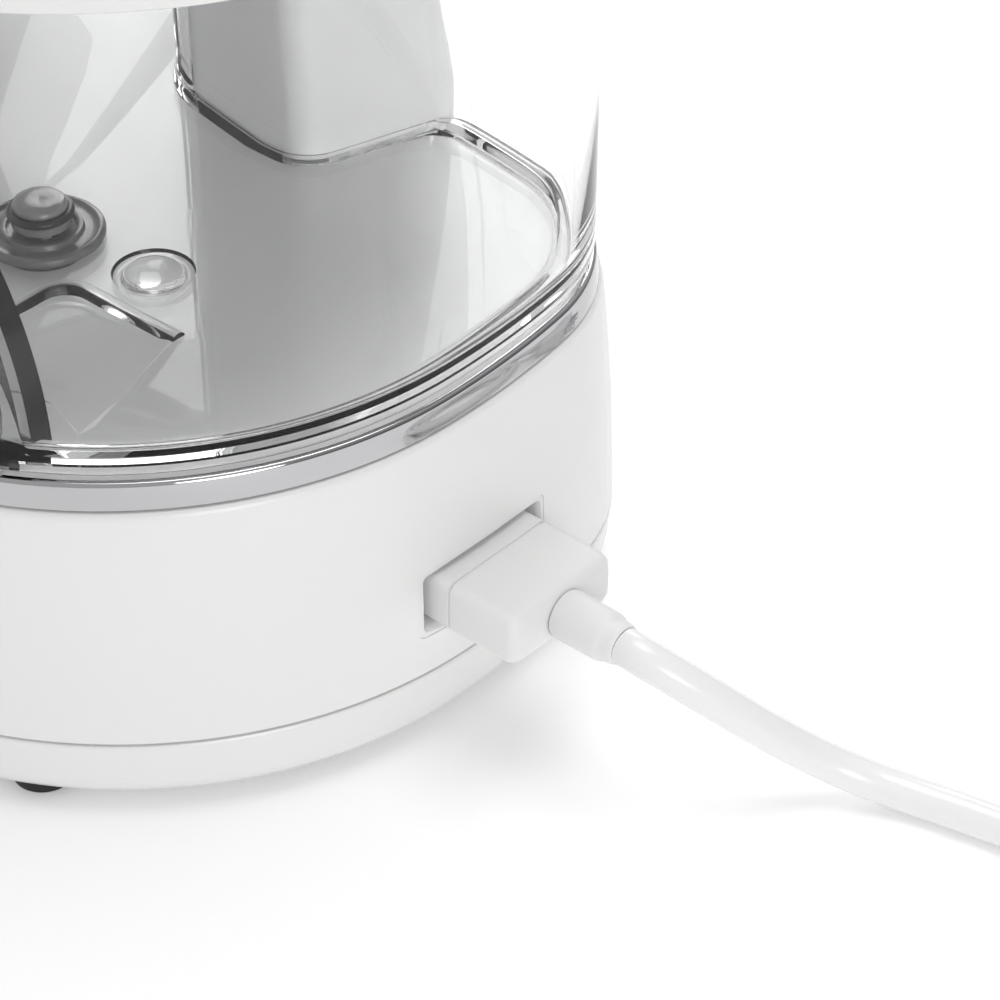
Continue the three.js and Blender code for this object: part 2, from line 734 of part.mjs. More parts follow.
const springPath = Array.from({ length: SPRING_STEPS + 1 }, (_, k) => {
  const share = k / SPRING_STEPS;
  const angle = 2 * Math.PI * SPRING_TURNS * share;
  return [VALVE.x + 2.7 * Math.cos(angle), VALVE.y + 2.7 * Math.sin(angle), 59.2 + 5.2 * share];
});
add("valve_spring", tube(springPath, 0.4, 5, SPRING_STEPS), STEEL);

// ---------------------------------------------------------------- lid, tip compartment and spare tips
const WELL = { x0: 12, x1: 54, y0: -22, y1: 10, z: 141.6 };
function makeLid() {
  const outer = cut(
    shell([[LID_EDGE, 2], [148, 1.9], [151, 0.7], [152.6, -1.6], [LID_TOP, -4.6]]),
    towerPrism(0.8, 0, 200),
  );
  const skirt = shell([[LID_EDGE - 1, 0.9], [141.4, 0.9]]);
  const hollow = cut(shell([[141, -2.6], [148.6, -2.6], [150.8, -5.2]]), towerPrism(3, 0, 200));
  const { x0, x1, y0, y1, z } = WELL;
  const wellWall = prism(roundedBox(x0 - 2, x1 + 2, y0 - 2, y1 + 2, 4), z - 1.8, 152);
  const well = prism(roundedBox(x0, x1, y0, y1, 2.5), z, 160);
  const coverSeat = prism(roundedBox(x0 - 1.3, x1 + 1.3, y0 - 1.3, y1 + 3.6, 3), 150.9, 160);
  return cut(cut(outer, skirt, hollow).add(wellWall), well, coverSeat);
}

const HINGE = { y: WELL.y1 + 1.9, z: 152, r: 1 };
function makeTipCover() {
  const { x0, x1, y0, y1 } = WELL;
  const plate = prism(roundedBox(x0 - 1, x1 + 1, y0 - 1, y1 + 0.8, 2.8), 151.2, LID_TOP);
  const knuckle = rod("x", HINGE.r, [x0 + 6, HINGE.y, HINGE.z], x1 - x0 - 12, 16);
  const web = block(x0 + 7, x1 - 7, y1, HINGE.y, HINGE.z - 0.4, HINGE.z + 0.5);
  return cut(union(plate, knuckle, web), rod("y", 6, [33, WELL.y0 - 4.5, 156.6], 6));
}

const TIP_R = 3.2;
function makeSpareTip(y) {
  const z = WELL.z + 0.3 + TIP_R;
  return cut(
    union(
      rod("x", TIP_R, [15, y, z], 9, 12),
      rod("x", TIP_R - 0.9, [23.8, y, z], 5, 12, 1.4),
      rod("x", 1.4, [28.6, y, z], 20, 12, 1),
    ),
    rod("x", 0.6, [0, y, z], 80, 6),
  );
}

add("lid_shell", makeLid(), WHITE);
add(
  "lid_gasket",
  cut(
    shell([[TANK_RIM + GAP, 0.4], [141.1, 0.4]]),
    shell([[TANK_RIM, -1.9], [142, -1.9]]),
    towerPrism(0.8, 0, 200),
  ),
  RUBBER,
);
add("tip_cover", makeTipCover(), WHITE);
add("spare_tip_1", makeSpareTip(-14), TUBE);
add("spare_tip_2", makeSpareTip(1), TUBE);

// ---------------------------------------------------------------- handpiece
const BUTTON_SLOT = { z0: 120, z1: 136, half: 4 };
function makeHandleBody() {
  const sleeve = turned(
    [[0, HANDLE_BOTTOM], [9.5, HANDLE_BOTTOM], [HANDLE_R, 32], [HANDLE_R, 60], [10.9, 60], [10.9, 108],
      [HANDLE_R, 108], [HANDLE_R, HANDLE_TOP], [9.6, HANDLE_TOP], [9.6, 32.5], [0, 32.5]],
    TOWER_X,
    HANDLE_Y,
    18,
  );
  const { z0, z1, half } = BUTTON_SLOT;
  return cut(
    sleeve,
    rod("z", 2.6, [TOWER_X, HANDLE_Y, 20], 20, 16),
    block(TOWER_X - half - GAP, TOWER_X + half + GAP, HANDLE_Y, HANDLE_Y + 20, z0 - GAP, z1 + GAP),
  );
}

add("handle_body", makeHandleBody(), WHITE);
add("handle_grip", collar(10.9 + GAP, HANDLE_R, 60.3, 107.7, TOWER_X, HANDLE_Y, 18), GREY);
add(
  "handle_cap",
  turned(
    [[6.6, 150.3], [HANDLE_R, 150.3], [HANDLE_R, 154], [9.4, 160], [6.6, 160], [6.6, 150.3]],
    TOWER_X,
    HANDLE_Y,
    18,
  ),
  WHITE,
);
add(
  "handle_hose_inlet",
  turned(
    [[1.4, 23.5], [2.2, 23.5], [2.4, 34], [2.4, 46], [1.4, 46], [1.4, 23.5]],
    TOWER_X,
    HANDLE_Y,
    10,
  ),
  GREY,
);
add("handle_flow_tube", collar(1.2, 2.2, 46.3, 149, TOWER_X, HANDLE_Y, 10), TUBE);
const { z0: slotLow, z1: slotHigh, half: slotHalf } = BUTTON_SLOT;
add(
  "pause_button",
  union(
    block(TOWER_X - slotHalf, TOWER_X + slotHalf, HANDLE_Y + 8, HANDLE_Y + 12.2, slotLow, slotHigh),
    block(TOWER_X - 4.6, TOWER_X + 4.6, HANDLE_Y + 5.6, HANDLE_Y + 8.1, slotLow - 1, slotHigh + 1),
  ),
  GREY,
);
add(
  "nozzle_collar",
  turned(
    [
      ...[[2.6, 149.8], [6.2, 149.8], [6.2, 160.3], [8.6, 160.3]],
      ...[[8.6, 166], [7.4, 168], [2.6, 168], [2.6, 149.8]],
    ],
    TOWER_X,
    HANDLE_Y,
    16,
  ),
  GREY,
);
add(
  "jet_nozzle",
  turned(
    [[0.9, 152], [2.3, 152], [2.3, 168.3], [4.6, 168.3], [4.6, 174], [3.2, 178], [1.9, 222], [0.9, 222],
      [0.9, 152]],
    TOWER_X,
    HANDLE_Y,
    14,
  ),
  CLEAR,
);
add(
  "nozzle_tip",
  tube(
    [[TOWER_X, HANDLE_Y, 222.3], [TOWER_X, HANDLE_Y, 227], [TOWER_X, HANDLE_Y - 1.6, 231.5],
      [TOWER_X, HANDLE_Y - 5, 234]],
    1.7,
    8,
    6,
  ),
  WHITE_SATIN,
);

// ---------------------------------------------------------------- power lead
const { y: leadY, z: leadZ } = PLUG_CENTRE;
const halfW = PLUG_WIDTH / 2;
const halfH = PLUG_HEIGHT / 2;
add(
  "lead_connector",
  cut(
    prismAlongX(
      roundedBox(leadY - halfW, leadY + halfW, leadZ - halfH, leadZ + halfH, 1.4),
      PLUG_INNER_X,
      PLUG_OUTER_X,
    ),
    rod("x", 1.35, [50, leadY - 4, leadZ], 22, 12),
    rod("x", 1.35, [50, leadY + 4, leadZ], 22, 12),
  ),
  WHITE_SATIN,
);
add(
  "lead_strain_relief",
  union(
    rod("x", 4.1, [PLUG_OUTER_X + GAP, leadY, leadZ], 9.4, 16, 3.9),
    rod("x", 3.9, [PLUG_OUTER_X + 9.6, leadY, leadZ], RELIEF_END_X - PLUG_OUTER_X - 9.6, 16, 3.4),
  ),
  WHITE_SATIN,
);
const LEAD_ROUTE = [
  [RELIEF_END_X + GAP, leadY, leadZ],
  [102.4, leadY, leadZ - 0.1],
  [105.4, 9.4, 26.2],
  [109, 11.6, 23.6],
  [113.6, 15.4, 19.2],
  [118.2, 20, 14],
  [123, 25, 8.8],
  [129, 29.6, 4.9],
  [136.6, 33, 3.2],
  [145, 35.3, LEAD_R],
  [151, 36.6, LEAD_R],
  [156.5, 37.8, LEAD_R],
];
const tailY = COIL.y + COIL.mean + 6.2;
const tailZ = MAINS_PLUG.halfHeight + 0.1;
const TAIL_ROUTE = [
  [158.6, tailY, tailZ + 0.3],
  [155.8, tailY, tailZ],
  [MAINS_PLUG.rear + GAP, tailY, tailZ],
];
const LEAD_SIDES = 10;
add("power_lead", tube(LEAD_ROUTE, LEAD_R, LEAD_SIDES, 14), WHITE);
add(
  "lead_coil",
  collar(COIL.mean - COIL.half, COIL.mean + COIL.half, 0, COIL.height, COIL.x, COIL.y, 28),
  WHITE,
);
add("lead_tail", tube(TAIL_ROUTE, LEAD_R, LEAD_SIDES, 3), WHITE);
function makeMainsPlug() {
  const { rear, front, halfWidth, halfHeight } = MAINS_PLUG;
  const body = prismAlongX(
    roundedBox(tailY - halfWidth, tailY + halfWidth, tailZ - halfHeight, tailZ + halfHeight, 4),
    front,
    rear - 14,
  );
  const neck = rod("x", 6.4, [rear - 14.5, tailY, tailZ], 14.5, 16, 4);
  return body.add(neck);
}
add("mains_plug", makeMainsPlug(), WHITE);
for (const [name, side] of [["plug_blade_1", -1], ["plug_blade_2", 1]]) {
  const y = tailY + side * 6.35;
  const { front } = MAINS_PLUG;
  add(name, block(front - 17.3, front - GAP, y - 0.75, y + 0.75, tailZ - 3.2, tailZ + 3.2), STEEL);
}

export default group;
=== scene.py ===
"""The looks of a countertop water flosser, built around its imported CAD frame.

Every shape is worked out in millimetres in the CAD frame and scaled to metres when its mesh is made.
+X is the side with the power socket, -Y the front with the control pod, +Y the back with the dock.
"""
import math

import bmesh
import bpy
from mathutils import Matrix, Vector


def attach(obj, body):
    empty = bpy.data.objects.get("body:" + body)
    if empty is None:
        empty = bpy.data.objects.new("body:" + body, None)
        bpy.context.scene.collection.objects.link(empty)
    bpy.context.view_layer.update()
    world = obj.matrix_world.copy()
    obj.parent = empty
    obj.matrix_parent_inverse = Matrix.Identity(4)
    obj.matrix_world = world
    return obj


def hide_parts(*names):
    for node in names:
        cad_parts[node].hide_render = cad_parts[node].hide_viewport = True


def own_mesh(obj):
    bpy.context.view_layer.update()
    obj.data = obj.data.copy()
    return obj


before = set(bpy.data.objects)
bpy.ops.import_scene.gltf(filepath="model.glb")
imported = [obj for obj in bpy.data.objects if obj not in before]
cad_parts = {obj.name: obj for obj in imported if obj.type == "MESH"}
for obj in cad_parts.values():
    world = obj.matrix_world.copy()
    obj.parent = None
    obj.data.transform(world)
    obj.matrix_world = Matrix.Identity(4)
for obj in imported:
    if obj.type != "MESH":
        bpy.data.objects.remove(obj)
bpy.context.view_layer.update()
MM = 0.001

# ---------------------------------------------------------------- driving dimensions, in millimetres
FRONT_R, FRONT_Y = 69.1, 6.5
SIDE_R, SIDE_START = 149.8, math.radians(-1.84)
CORNER_R = 33.6
BACK_R, BACK_Y = 231.0, 62.6

DECK_TOP = 60.2
TANK_FLOOR = 63.2

TOWER_X = -3.0
TOWER_FRONT_Y = 34.5
TOWER_SIDE_X = 1.893
TOWER_SLOPE = 0.3164
TOWER_EDGE_R = 5.0
SLANT = math.hypot(1, TOWER_SLOPE)
HANDLE_Y = 50.2

POD_HALF_WIDTH = 33.0
POD_HEIGHT = 45.0
POD_BACK_Y = -47.5
POD_FACE_Y = -60.5
DIAL_Z = 88.0
BUTTON_Z = 69.0
BUTTON_X = 9.0
VALVE = (-5.0, -8.5)

LEAD_R = 3.0
PLUG_Y, PLUG_Z = 8.4, 27.5
PLUG_HALF_WIDTH = 11.3
PLUG_HALF_HEIGHT = 4.5
PLUG_OUTER_X = 87.9
RELIEF_END_X = 99.6
COIL_X, COIL_Y = 182.0, 83.8
MAINS_FRONT, MAINS_REAR = 114.5, 152.5
MAINS_HALF_WIDTH, MAINS_HALF_HEIGHT = 12.5, 8.6
TAIL_Y, TAIL_Z = 123.0, 8.7

# ---------------------------------------------------------------- camera
LENS = 128.7
CAMERA_AZIMUTH = math.radians(41.74)
CAMERA_ELEVATION = math.radians(37.96)
CAMERA_DISTANCE = 595.9
CAMERA_RIGHT, CAMERA_UP = 60.32, 5.64
CAMERA_SHIFT_Y = 1.7


def make_camera():
    az, el = CAMERA_AZIMUTH, CAMERA_ELEVATION
    forward = Vector((-math.sin(az) * math.cos(el), math.cos(az) * math.cos(el), -math.sin(el)))
    right = Vector((math.cos(az), math.sin(az), 0))
    up = right.cross(forward)
    place = Vector((0, CAMERA_SHIFT_Y, 0)) - forward * CAMERA_DISTANCE + right * CAMERA_RIGHT + up * CAMERA_UP
    data = bpy.data.cameras.new("camera")
    data.lens = LENS
    data.sensor_width = 36
    data.clip_start, data.clip_end = 0.05, 20
    camera = bpy.data.objects.new("camera", data)
    camera.location = place * MM
    camera.rotation_euler = (math.pi / 2 - el, 0, az)
    bpy.context.scene.collection.objects.link(camera)
    bpy.context.scene.camera = camera


make_camera()


# ---------------------------------------------------------------- mesh helpers, all in millimetres
def make_object(name, points, faces, sharp=32):
    """A mesh object from points in millimetres; edges flatter than the angle are shaded smooth."""
    mesh = bpy.data.meshes.new(name)
    mesh.from_pydata([Vector(p) * MM for p in points], [], faces)
    obj = bpy.data.objects.new(name, mesh)
    bpy.context.scene.collection.objects.link(obj)
    tidy(obj, sharp)
    return obj


def tidy(obj, sharp=32):
    """Outward normals, no doubled points, smooth shading with sharp edges kept."""
    bm = bmesh.new()
    bm.from_mesh(obj.data)
    bmesh.ops.remove_doubles(bm, verts=bm.verts, dist=0.004 * MM)
    bmesh.ops.recalc_face_normals(bm, faces=bm.faces)
    bm.to_mesh(obj.data)
    bm.free()
    obj.data.polygons.foreach_set("use_smooth", [True] * len(obj.data.polygons))
    obj.data.set_sharp_from_angle(angle=math.radians(sharp))


def loft(name, loops, ring=False, sharp=32):
    """A closed skin through loops of equal length, capped at both ends, or joined end to start."""
    count = len(loops[0])
    points = [p for loop in loops for p in loop]
    spans = len(loops) if ring else len(loops) - 1
    faces = []
    for level in range(spans):
        low, high = level * count, ((level + 1) % len(loops)) * count
        for k in range(count):
            after = (k + 1) % count
            faces.append((low + k, low + after, high + after, high + k))
    if not ring:
        faces.append(tuple(reversed(range(count))))
        faces.append(tuple(range(len(points) - count, len(points))))
    return make_object(name, points, faces, sharp)


def combine(obj, tool, how="DIFFERENCE"):
    """Applies an exact boolean of the tool to the object, and removes the tool."""
    modifier = obj.modifiers.new("combine", "BOOLEAN")
    modifier.operation = how
    modifier.solver = "EXACT"
    modifier.object = tool
    graph = bpy.context.evaluated_depsgraph_get()
    result = bpy.data.meshes.new_from_object(obj.evaluated_get(graph))
    obj.modifiers.clear()
    obj.data = result
    bpy.data.objects.remove(tool)
    tidy(obj)
    return obj


def rounded(corners, steps=6):
    """A closed 2-D outline whose corners (x, y, radius) are replaced by arcs."""
    outline = []
    for k, (x, y, radius) in enumerate(corners):
        here = Vector((x, y))
        back = Vector(corners[k - 1][:2]) - here
        ahead = Vector(corners[(k + 1) % len(corners)][:2]) - here
        if radius == 0:
            outline.append((x, y))
            continue
        half = back.angle(ahead) / 2
        reach = radius / math.tan(half)
        start, end = here + back.normalized() * reach, here + ahead.normalized() * reach
        centre = here + (back.normalized() + ahead.normalized()).normalized() * radius / math.sin(half)
        for step in range(steps + 1):
            along = start.lerp(end, step / steps) - centre
            outline.append(tuple(centre + along.normalized() * radius))
    return outline


def rounded_box(x0, x1, y0, y1, radius, steps=6):
    return rounded([(x0, y0, radius), (x1, y0, radius), (x1, y1, radius), (x0, y1, radius)], steps)


def place(u, v, height, axis):
    """A point of a 2-D outline at a height along the axis the outline stands across."""
    return {"z": (u, v, height), "y": (u, height, v), "x": (height, u, v)}[axis]


def prism(name, outline, low, high, axis="z"):
    return loft(name, [[place(u, v, h, axis) for u, v in outline] for h in (low, high)])


def lathe(name, profile, centre, axis="z", segments=64, sharp=32):
    """A turned body: profile points (radius, height along the axis), closed on itself or at the axis."""
    cu, cv = centre
    hollow = min(radius for radius, _ in profile) > 0
    loops = []
    for radius, height in profile:
        turn = [2 * math.pi * k / segments for k in range(segments)]
        reach = max(radius, 0.01)
        loops.append([place(cu + reach * math.cos(a), cv + reach * math.sin(a), height, axis) for a in turn])
    return loft(name, loops, ring=hollow, sharp=sharp)


def soft_profile(corners, steps=3):
    """A turned body's profile with its corners (radius, height, rounding) rounded."""
    return rounded(corners, steps)


def rod(name, radius, centre, low, high, axis="z", segments=48):
    return lathe(name, [(0, low), (radius, low), (radius, high), (0, high)], centre, axis, segments)


# ---------------------------------------------------------------- the plan outline and the dock tower
def plan_arcs():
    """The outline's right half as arcs (centre, radius, start angle, end angle), front to back."""
    front = Vector((0, FRONT_Y))
    side = front + Vector((math.cos(SIDE_START), math.sin(SIDE_START))) * (FRONT_R - SIDE_R)
    back = Vector((0, BACK_Y - BACK_R))
    from_side, from_back = SIDE_R - CORNER_R, BACK_R - CORNER_R
    between = back - side
    along = (from_side**2 - from_back**2 + between.length_squared) / (2 * between.length)
    across = math.sqrt(from_side**2 - along**2)
    unit = between.normalized()
    found = [side + unit * along + Vector((-unit.y, unit.x)) * across * sign for sign in (1, -1)]
    corner = max(found, key=lambda point: point.x)
    side_end = math.atan2(corner.y - side.y, corner.x - side.x)
    corner_end = math.atan2(corner.y - back.y, corner.x - back.x)
    return [
        (front, FRONT_R, -math.pi / 2, SIDE_START),
        (side, SIDE_R, SIDE_START, side_end),
        (corner, CORNER_R, side_end, corner_end),
        (back, BACK_R, corner_end, math.pi / 2),
    ]


ARCS = plan_arcs()
HALF_LENGTH = sum(radius * (end - start) for _, radius, start, end in ARCS)


def plan_point(travel, offset, side=1):
    """The outline's point at a travel from the front middle, grown by an offset, on either side."""
    for centre, radius, start, end in ARCS:
        length = radius * (end - start)
        if travel <= length + 1e-6:
            break
        travel -= length
    angle = start + travel / radius
    point = centre + Vector((math.cos(angle), math.sin(angle))) * (radius + offset)
    return Vector((point.x * side, point.y))


def tower_edge(y, grow, side):
    return TOWER_X + side * (TOWER_SIDE_X + TOWER_SLOPE * y + grow * SLANT)


def mouth(offset, grow, side):
    """The travel at which the grown outline meets the grown tower's side."""
    low, high = HALF_LENGTH * 0.6, HALF_LENGTH
    for _ in range(40):
        middle = (low + high) / 2
        point = plan_point(middle, offset, side)
        outside = side * (point.x - tower_edge(point.y, grow, side)) > 0
        low, high = (middle, high) if outside else (low, middle)
    return low


def tower_face(grow, corner_r, steps=8):
    """The tower's front from its right side round both front corners to its left side."""
    y = TOWER_FRONT_Y - grow
    far = y + 20
    corners = [
        (tower_edge(far, grow, 1), far, 0),
        (tower_edge(y, grow, 1), y, corner_r),
        (tower_edge(y, grow, -1), y, corner_r),
        (tower_edge(far, grow, -1), far, 0),
    ]
    return [Vector(p) for p in rounded(corners, steps)[1:-1]]


def fillet(before, corner, after, radius, steps=6):
    """An arc that rounds the corner between two neighbouring points."""
    back, ahead = before - corner, after - corner
    half = back.angle(ahead) / 2
    reach = radius / math.tan(half)
    start, end = corner + back.normalized() * reach, corner + ahead.normalized() * reach
    centre = corner + (back.normalized() + ahead.normalized()).normalized() * radius / math.sin(half)
    arc = [start.lerp(end, k / steps) - centre for k in range(steps + 1)]
    return [centre + a.normalized() * radius for a in arc], reach


def notched_loop(z, offset, grow, mouth_r=3.0):
    """One level of a body that has the plan outline with the tower's place left out of it."""
    halves, arcs = {}, {}
    face = tower_face(grow, TOWER_EDGE_R + grow)
    for side in (1, -1):
        travel = mouth(offset, grow, side)
        corner = plan_point(travel, offset, side)
        before = plan_point(travel - 10, offset, side)
        inner = face[0] if side > 0 else face[-1]
        arcs[side], reach = fillet(before, corner, inner, mouth_r)
        steps = 84
        halves[side] = [plan_point((travel - reach) * k / steps, offset, side) for k in range(steps)]
    sides = []
    for side, inner in ((1, face[0]), (-1, face[-1])):
        sides.append([arcs[side][-1].lerp(inner, k / 5) for k in range(1, 5)])
    front = split(face)
    loop = halves[1] + arcs[1] + sides[0] + front + sides[1][::-1] + arcs[-1][::-1] + halves[-1][:0:-1]
    return [(p.x, p.y, z) for p in loop]


def split(face):
    """The tower's face with points added along its flat front."""
    middle = len(face) // 2
    right, left = face[middle - 1], face[middle]
    return face[:middle] + [right.lerp(left, k / 8) for k in range(1, 8)] + face[middle:]


def tower_loop(z, offset, grow=0.0, edge_r=1.2):
    """One level of the dock tower: its own front and sides, and the plan outline at its back."""
    face = split(tower_face(grow, TOWER_EDGE_R + grow))
    travels = {side: mouth(offset, grow, side) for side in (1, -1)}
    arcs, reaches = {}, {}
    for side in (1, -1):
        corner = plan_point(travels[side], offset, side)
        toward_back = plan_point(travels[side] + 6, offset, side)
        inner = face[0] if side > 0 else face[-1]
        arcs[side], reaches[side] = fillet(toward_back, corner, inner, edge_r, 4)
    back = []
    for side, order in ((-1, 1), (1, -1)):
        start = travels[side] + reaches[side]
        run = [plan_point(start + (HALF_LENGTH - start) * k / 8, offset, side) for k in range(1, 8)]
        back += run[::order]
    loop = arcs[1][1:] + face + arcs[-1][:0:-1] + [arcs[-1][0]] + back + [arcs[1][0]]
    return [(p.x, p.y, z) for p in loop]


def plain_loop(z, offset, steps=90):
    right = [plan_point(HALF_LENGTH * k / steps, offset) for k in range(steps + 1)]
    left = [Vector((-p.x, p.y)) for p in right[-2:0:-1]]
    return [(p.x, p.y, z) for p in right + left]


def arch_outline(grow, low):
    """The control pod's arch, across Y, grown by a clearance."""
    reach, height, base = POD_HALF_WIDTH + grow, POD_HEIGHT + grow, DECK_TOP + 0.3
    steps = 48
    turn = [math.pi * k / steps for k in range(steps + 1)]
    arch = [(reach * math.cos(a), base + height * math.sin(a)) for a in turn]
    return [(reach, low)] + arch + [(-reach, low)]


def arch_body(name, levels, low):
    """An arch prism across Y, from levels (y, growth)."""
    return loft(name, [[(x, y, z) for x, z in arch_outline(grow, low)] for y, grow in levels])


# ---------------------------------------------------------------- materials
def shader(name):
    material = bpy.data.materials.new(name)
    material.use_nodes = True
    return material, material.node_tree, material.node_tree.nodes["Principled BSDF"]


def noise(tree, scale, detail=3.0):
    coordinates = tree.nodes.new("ShaderNodeTexCoord")
    texture = tree.nodes.new("ShaderNodeTexNoise")
    texture.inputs["Scale"].default_value = scale
    texture.inputs["Detail"].default_value = detail
    tree.links.new(coordinates.outputs["Object"], texture.inputs["Vector"])
    return texture.outputs["Fac"]


def spread(tree, value, low, high):
    """A noise value mapped onto a range."""
    node = tree.nodes.new("ShaderNodeMapRange")
    node.interpolation_type = "SMOOTHSTEP"
    node.inputs["To Min"].default_value = low
    node.inputs["To Max"].default_value = high
    tree.links.new(value, node.inputs["Value"])
    return node.outputs["Result"]


def add_bump(tree, surface, value, strength, distance):
    bump = tree.nodes.new("ShaderNodeBump")
    bump.inputs["Strength"].default_value = strength
    bump.inputs["Distance"].default_value = distance
    tree.links.new(value, bump.inputs["Height"])
    tree.links.new(bump.outputs["Normal"], surface.inputs["Normal"])


def moulded(name, colour, rough, grain, depth, coat=0.0, vary=0.025, subsurface=0.0):
    """A moulded plastic or rubber: slight colour drift and a fine surface grain."""
    material, tree, surface = shader(name)
    drift = tree.nodes.new("ShaderNodeValToRGB")
    drift.color_ramp.elements[0].color = (*[c * (1 - vary) for c in colour], 1)
    drift.color_ramp.elements[1].color = (*[min(1.0, c * (1 + vary)) for c in colour], 1)
    tree.links.new(noise(tree, 14, 1), drift.inputs["Fac"])
    tree.links.new(drift.outputs["Color"], surface.inputs["Base Color"])
    surface.inputs["Roughness"].default_value = rough
    surface.inputs["Coat Weight"].default_value = coat
    surface.inputs["Coat Roughness"].default_value = 0.06
    surface.inputs["Subsurface Weight"].default_value = subsurface
    surface.inputs["Subsurface Radius"].default_value = (0.004, 0.004, 0.004)
    surface.inputs["Subsurface Scale"].default_value = 0.5
    add_bump(tree, surface, noise(tree, grain, 2), 0.1, depth)
    return material


def metal(name, colour, rough, stretch=1.0):
    """A plated or drawn metal, with fine lines along one direction."""
    material, tree, surface = shader(name)
    coordinates = tree.nodes.new("ShaderNodeTexCoord")
    mapping = tree.nodes.new("ShaderNodeMapping")
    mapping.inputs["Scale"].default_value = (1, stretch, 1)
    texture = tree.nodes.new("ShaderNodeTexNoise")
    texture.inputs["Scale"].default_value = 300
    tree.links.new(coordinates.outputs["Object"], mapping.inputs["Vector"])
    tree.links.new(mapping.outputs["Vector"], texture.inputs["Vector"])
    surface.inputs["Base Color"].default_value = (*colour, 1)
    surface.inputs["Metallic"].default_value = 1
    uneven = spread(tree, texture.outputs["Fac"], rough * 0.75, rough * 1.3)
    tree.links.new(uneven, surface.inputs["Roughness"])
    add_bump(tree, surface, texture.outputs["Fac"], 0.08, 0.00002)
    return material


def see_through(name, colour, rough, shade, ior=1.49):
    """A clear plastic; its shadow is a light tint, as a thin clear wall's is."""
    material, tree, surface = shader(name)
    surface.inputs["Base Color"].default_value = (*colour, 1)
    surface.inputs["Transmission Weight"].default_value = 1
    surface.inputs["IOR"].default_value = ior
    surface.inputs["Specular IOR Level"].default_value = 0.22
    tree.links.new(spread(tree, noise(tree, 90), rough * 0.6, rough * 1.5), surface.inputs["Roughness"])
    add_bump(tree, surface, noise(tree, 45, 1), 0.06, 0.00006)
    path = tree.nodes.new("ShaderNodeLightPath")
    clear = tree.nodes.new("ShaderNodeBsdfTransparent")
    clear.inputs["Color"].default_value = (shade, shade, shade, 1)
    mix = tree.nodes.new("ShaderNodeMixShader")
    tree.links.new(path.outputs["Is Shadow Ray"], mix.inputs["Fac"])
    tree.links.new(surface.outputs["BSDF"], mix.inputs[1])
    tree.links.new(clear.outputs["BSDF"], mix.inputs[2])
    tree.links.new(mix.outputs["Shader"], tree.nodes["Material Output"].inputs["Surface"])
    return material


WHITE = moulded("gloss_white_plastic", (0.80, 0.80, 0.797), 0.26, 4200, 0.000006, vary=0.003)
SATIN = moulded("satin_white_plastic", (0.77, 0.77, 0.767), 0.42, 4600, 0.00001, vary=0.004)
SHEATH = moulded("lead_sheath", (0.82, 0.82, 0.817), 0.2, 3600, 0.000006, vary=0.003)
GREY = moulded("grey_plastic", (0.30, 0.305, 0.31), 0.24, 4200, 0.000008, coat=0.3)
CAP = moulded("valve_cap_plastic", (0.17, 0.17, 0.172), 0.16, 3600, 0.000005, coat=0.5)
SMOKE = moulded("smoke_plastic", (0.10, 0.10, 0.102), 0.2, 3600, 0.000006, coat=0.4)
DARK = moulded("dark_plastic", (0.035, 0.035, 0.037), 0.3, 4200, 0.00001)
RUBBER = moulded("black_rubber", (0.006, 0.006, 0.0065), 0.22, 4200, 0.000006)
FOOT = moulded("foot_rubber", (0.01, 0.01, 0.0105), 0.6, 3600, 0.00002)
BOARD = moulded("circuit_board", (0.03, 0.16, 0.07), 0.4, 2500, 0.00001, vary=0.15)
TUBE = moulded("milky_tube", (0.74, 0.75, 0.74), 0.3, 3000, 0.00001, subsurface=0.5)
CHROME = metal("chrome", (0.50, 0.50, 0.51), 0.06)
STEEL = metal("drawn_steel", (0.62, 0.62, 0.63), 0.24, 12)
BRASS = metal("brass", (0.80, 0.62, 0.33), 0.22, 8)
CLEAR = see_through("clear_plastic", (0.968, 0.97, 0.973), 0.01, 0.985, ior=1.33)

CAD_FINISH = {
    STEEL: ["pan_screw_1", "pan_screw_2", "pan_screw_3", "pan_screw_4", "motor", "motor_bracket"],
    BRASS: ["socket_pin_1", "socket_pin_2", "motor_pinion"],
    GREY: ["hose_outlet", "pump_head", "inlet_spigot", "handle_hose_inlet"],
    SATIN: ["drive_gear", "pump_piston"],
    TUBE: ["inlet_tube", "outlet_tube", "handle_flow_tube"],
    RUBBER: ["lid_gasket"],
    DARK: ["pressure_regulator"],
    BOARD: ["switch_board", "circuit_board"],
}
for material, names in CAD_FINISH.items():
    for name in names:
        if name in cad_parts:
            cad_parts[name].data.materials.clear()
            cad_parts[name].data.materials.append(material)


def finish_piece(obj, body, material, slot, *nodes):
    """Dresses a piece, ties it to its body and lets it stand for its CAD nodes."""
    obj.data.materials.clear()
    obj.data.materials.append(material)
    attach(obj, body)
    if nodes:
        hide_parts(*nodes)
    return obj


# ---------------------------------------------------------------- power lead
LEAD_START = [
    (RELIEF_END_X, PLUG_Y, PLUG_Z),
    (102.4, PLUG_Y, PLUG_Z - 0.1),
    (105.4, 9.4, 26.2),
    (109, 11.6, 23.6),
    (113.6, 15.4, 19.2),
    (118.2, 20, 14),
    (123, 25, 8.8),
    (129, 29.6, 4.9),
    (136.6, 33, 3.2),
    (145, 35.3, LEAD_R),
    (151, 36.6, LEAD_R),
    (156.5, 37.8, LEAD_R),
    (164, 39.5, LEAD_R),
    (172, 41.3, LEAD_R),
    (181, 43.4, LEAD_R),
]
LEAD_END = [
    (174, TAIL_Y, 9.3),
    (166, TAIL_Y, 9.2),
    (158.6, TAIL_Y, 9),
    (155.8, TAIL_Y, TAIL_Z),
    (MAINS_REAR + 0.3, TAIL_Y, TAIL_Z),
]
COIL_START = -77.3
OUTER_TURN, TURN_STEP = 39.2, 6.2


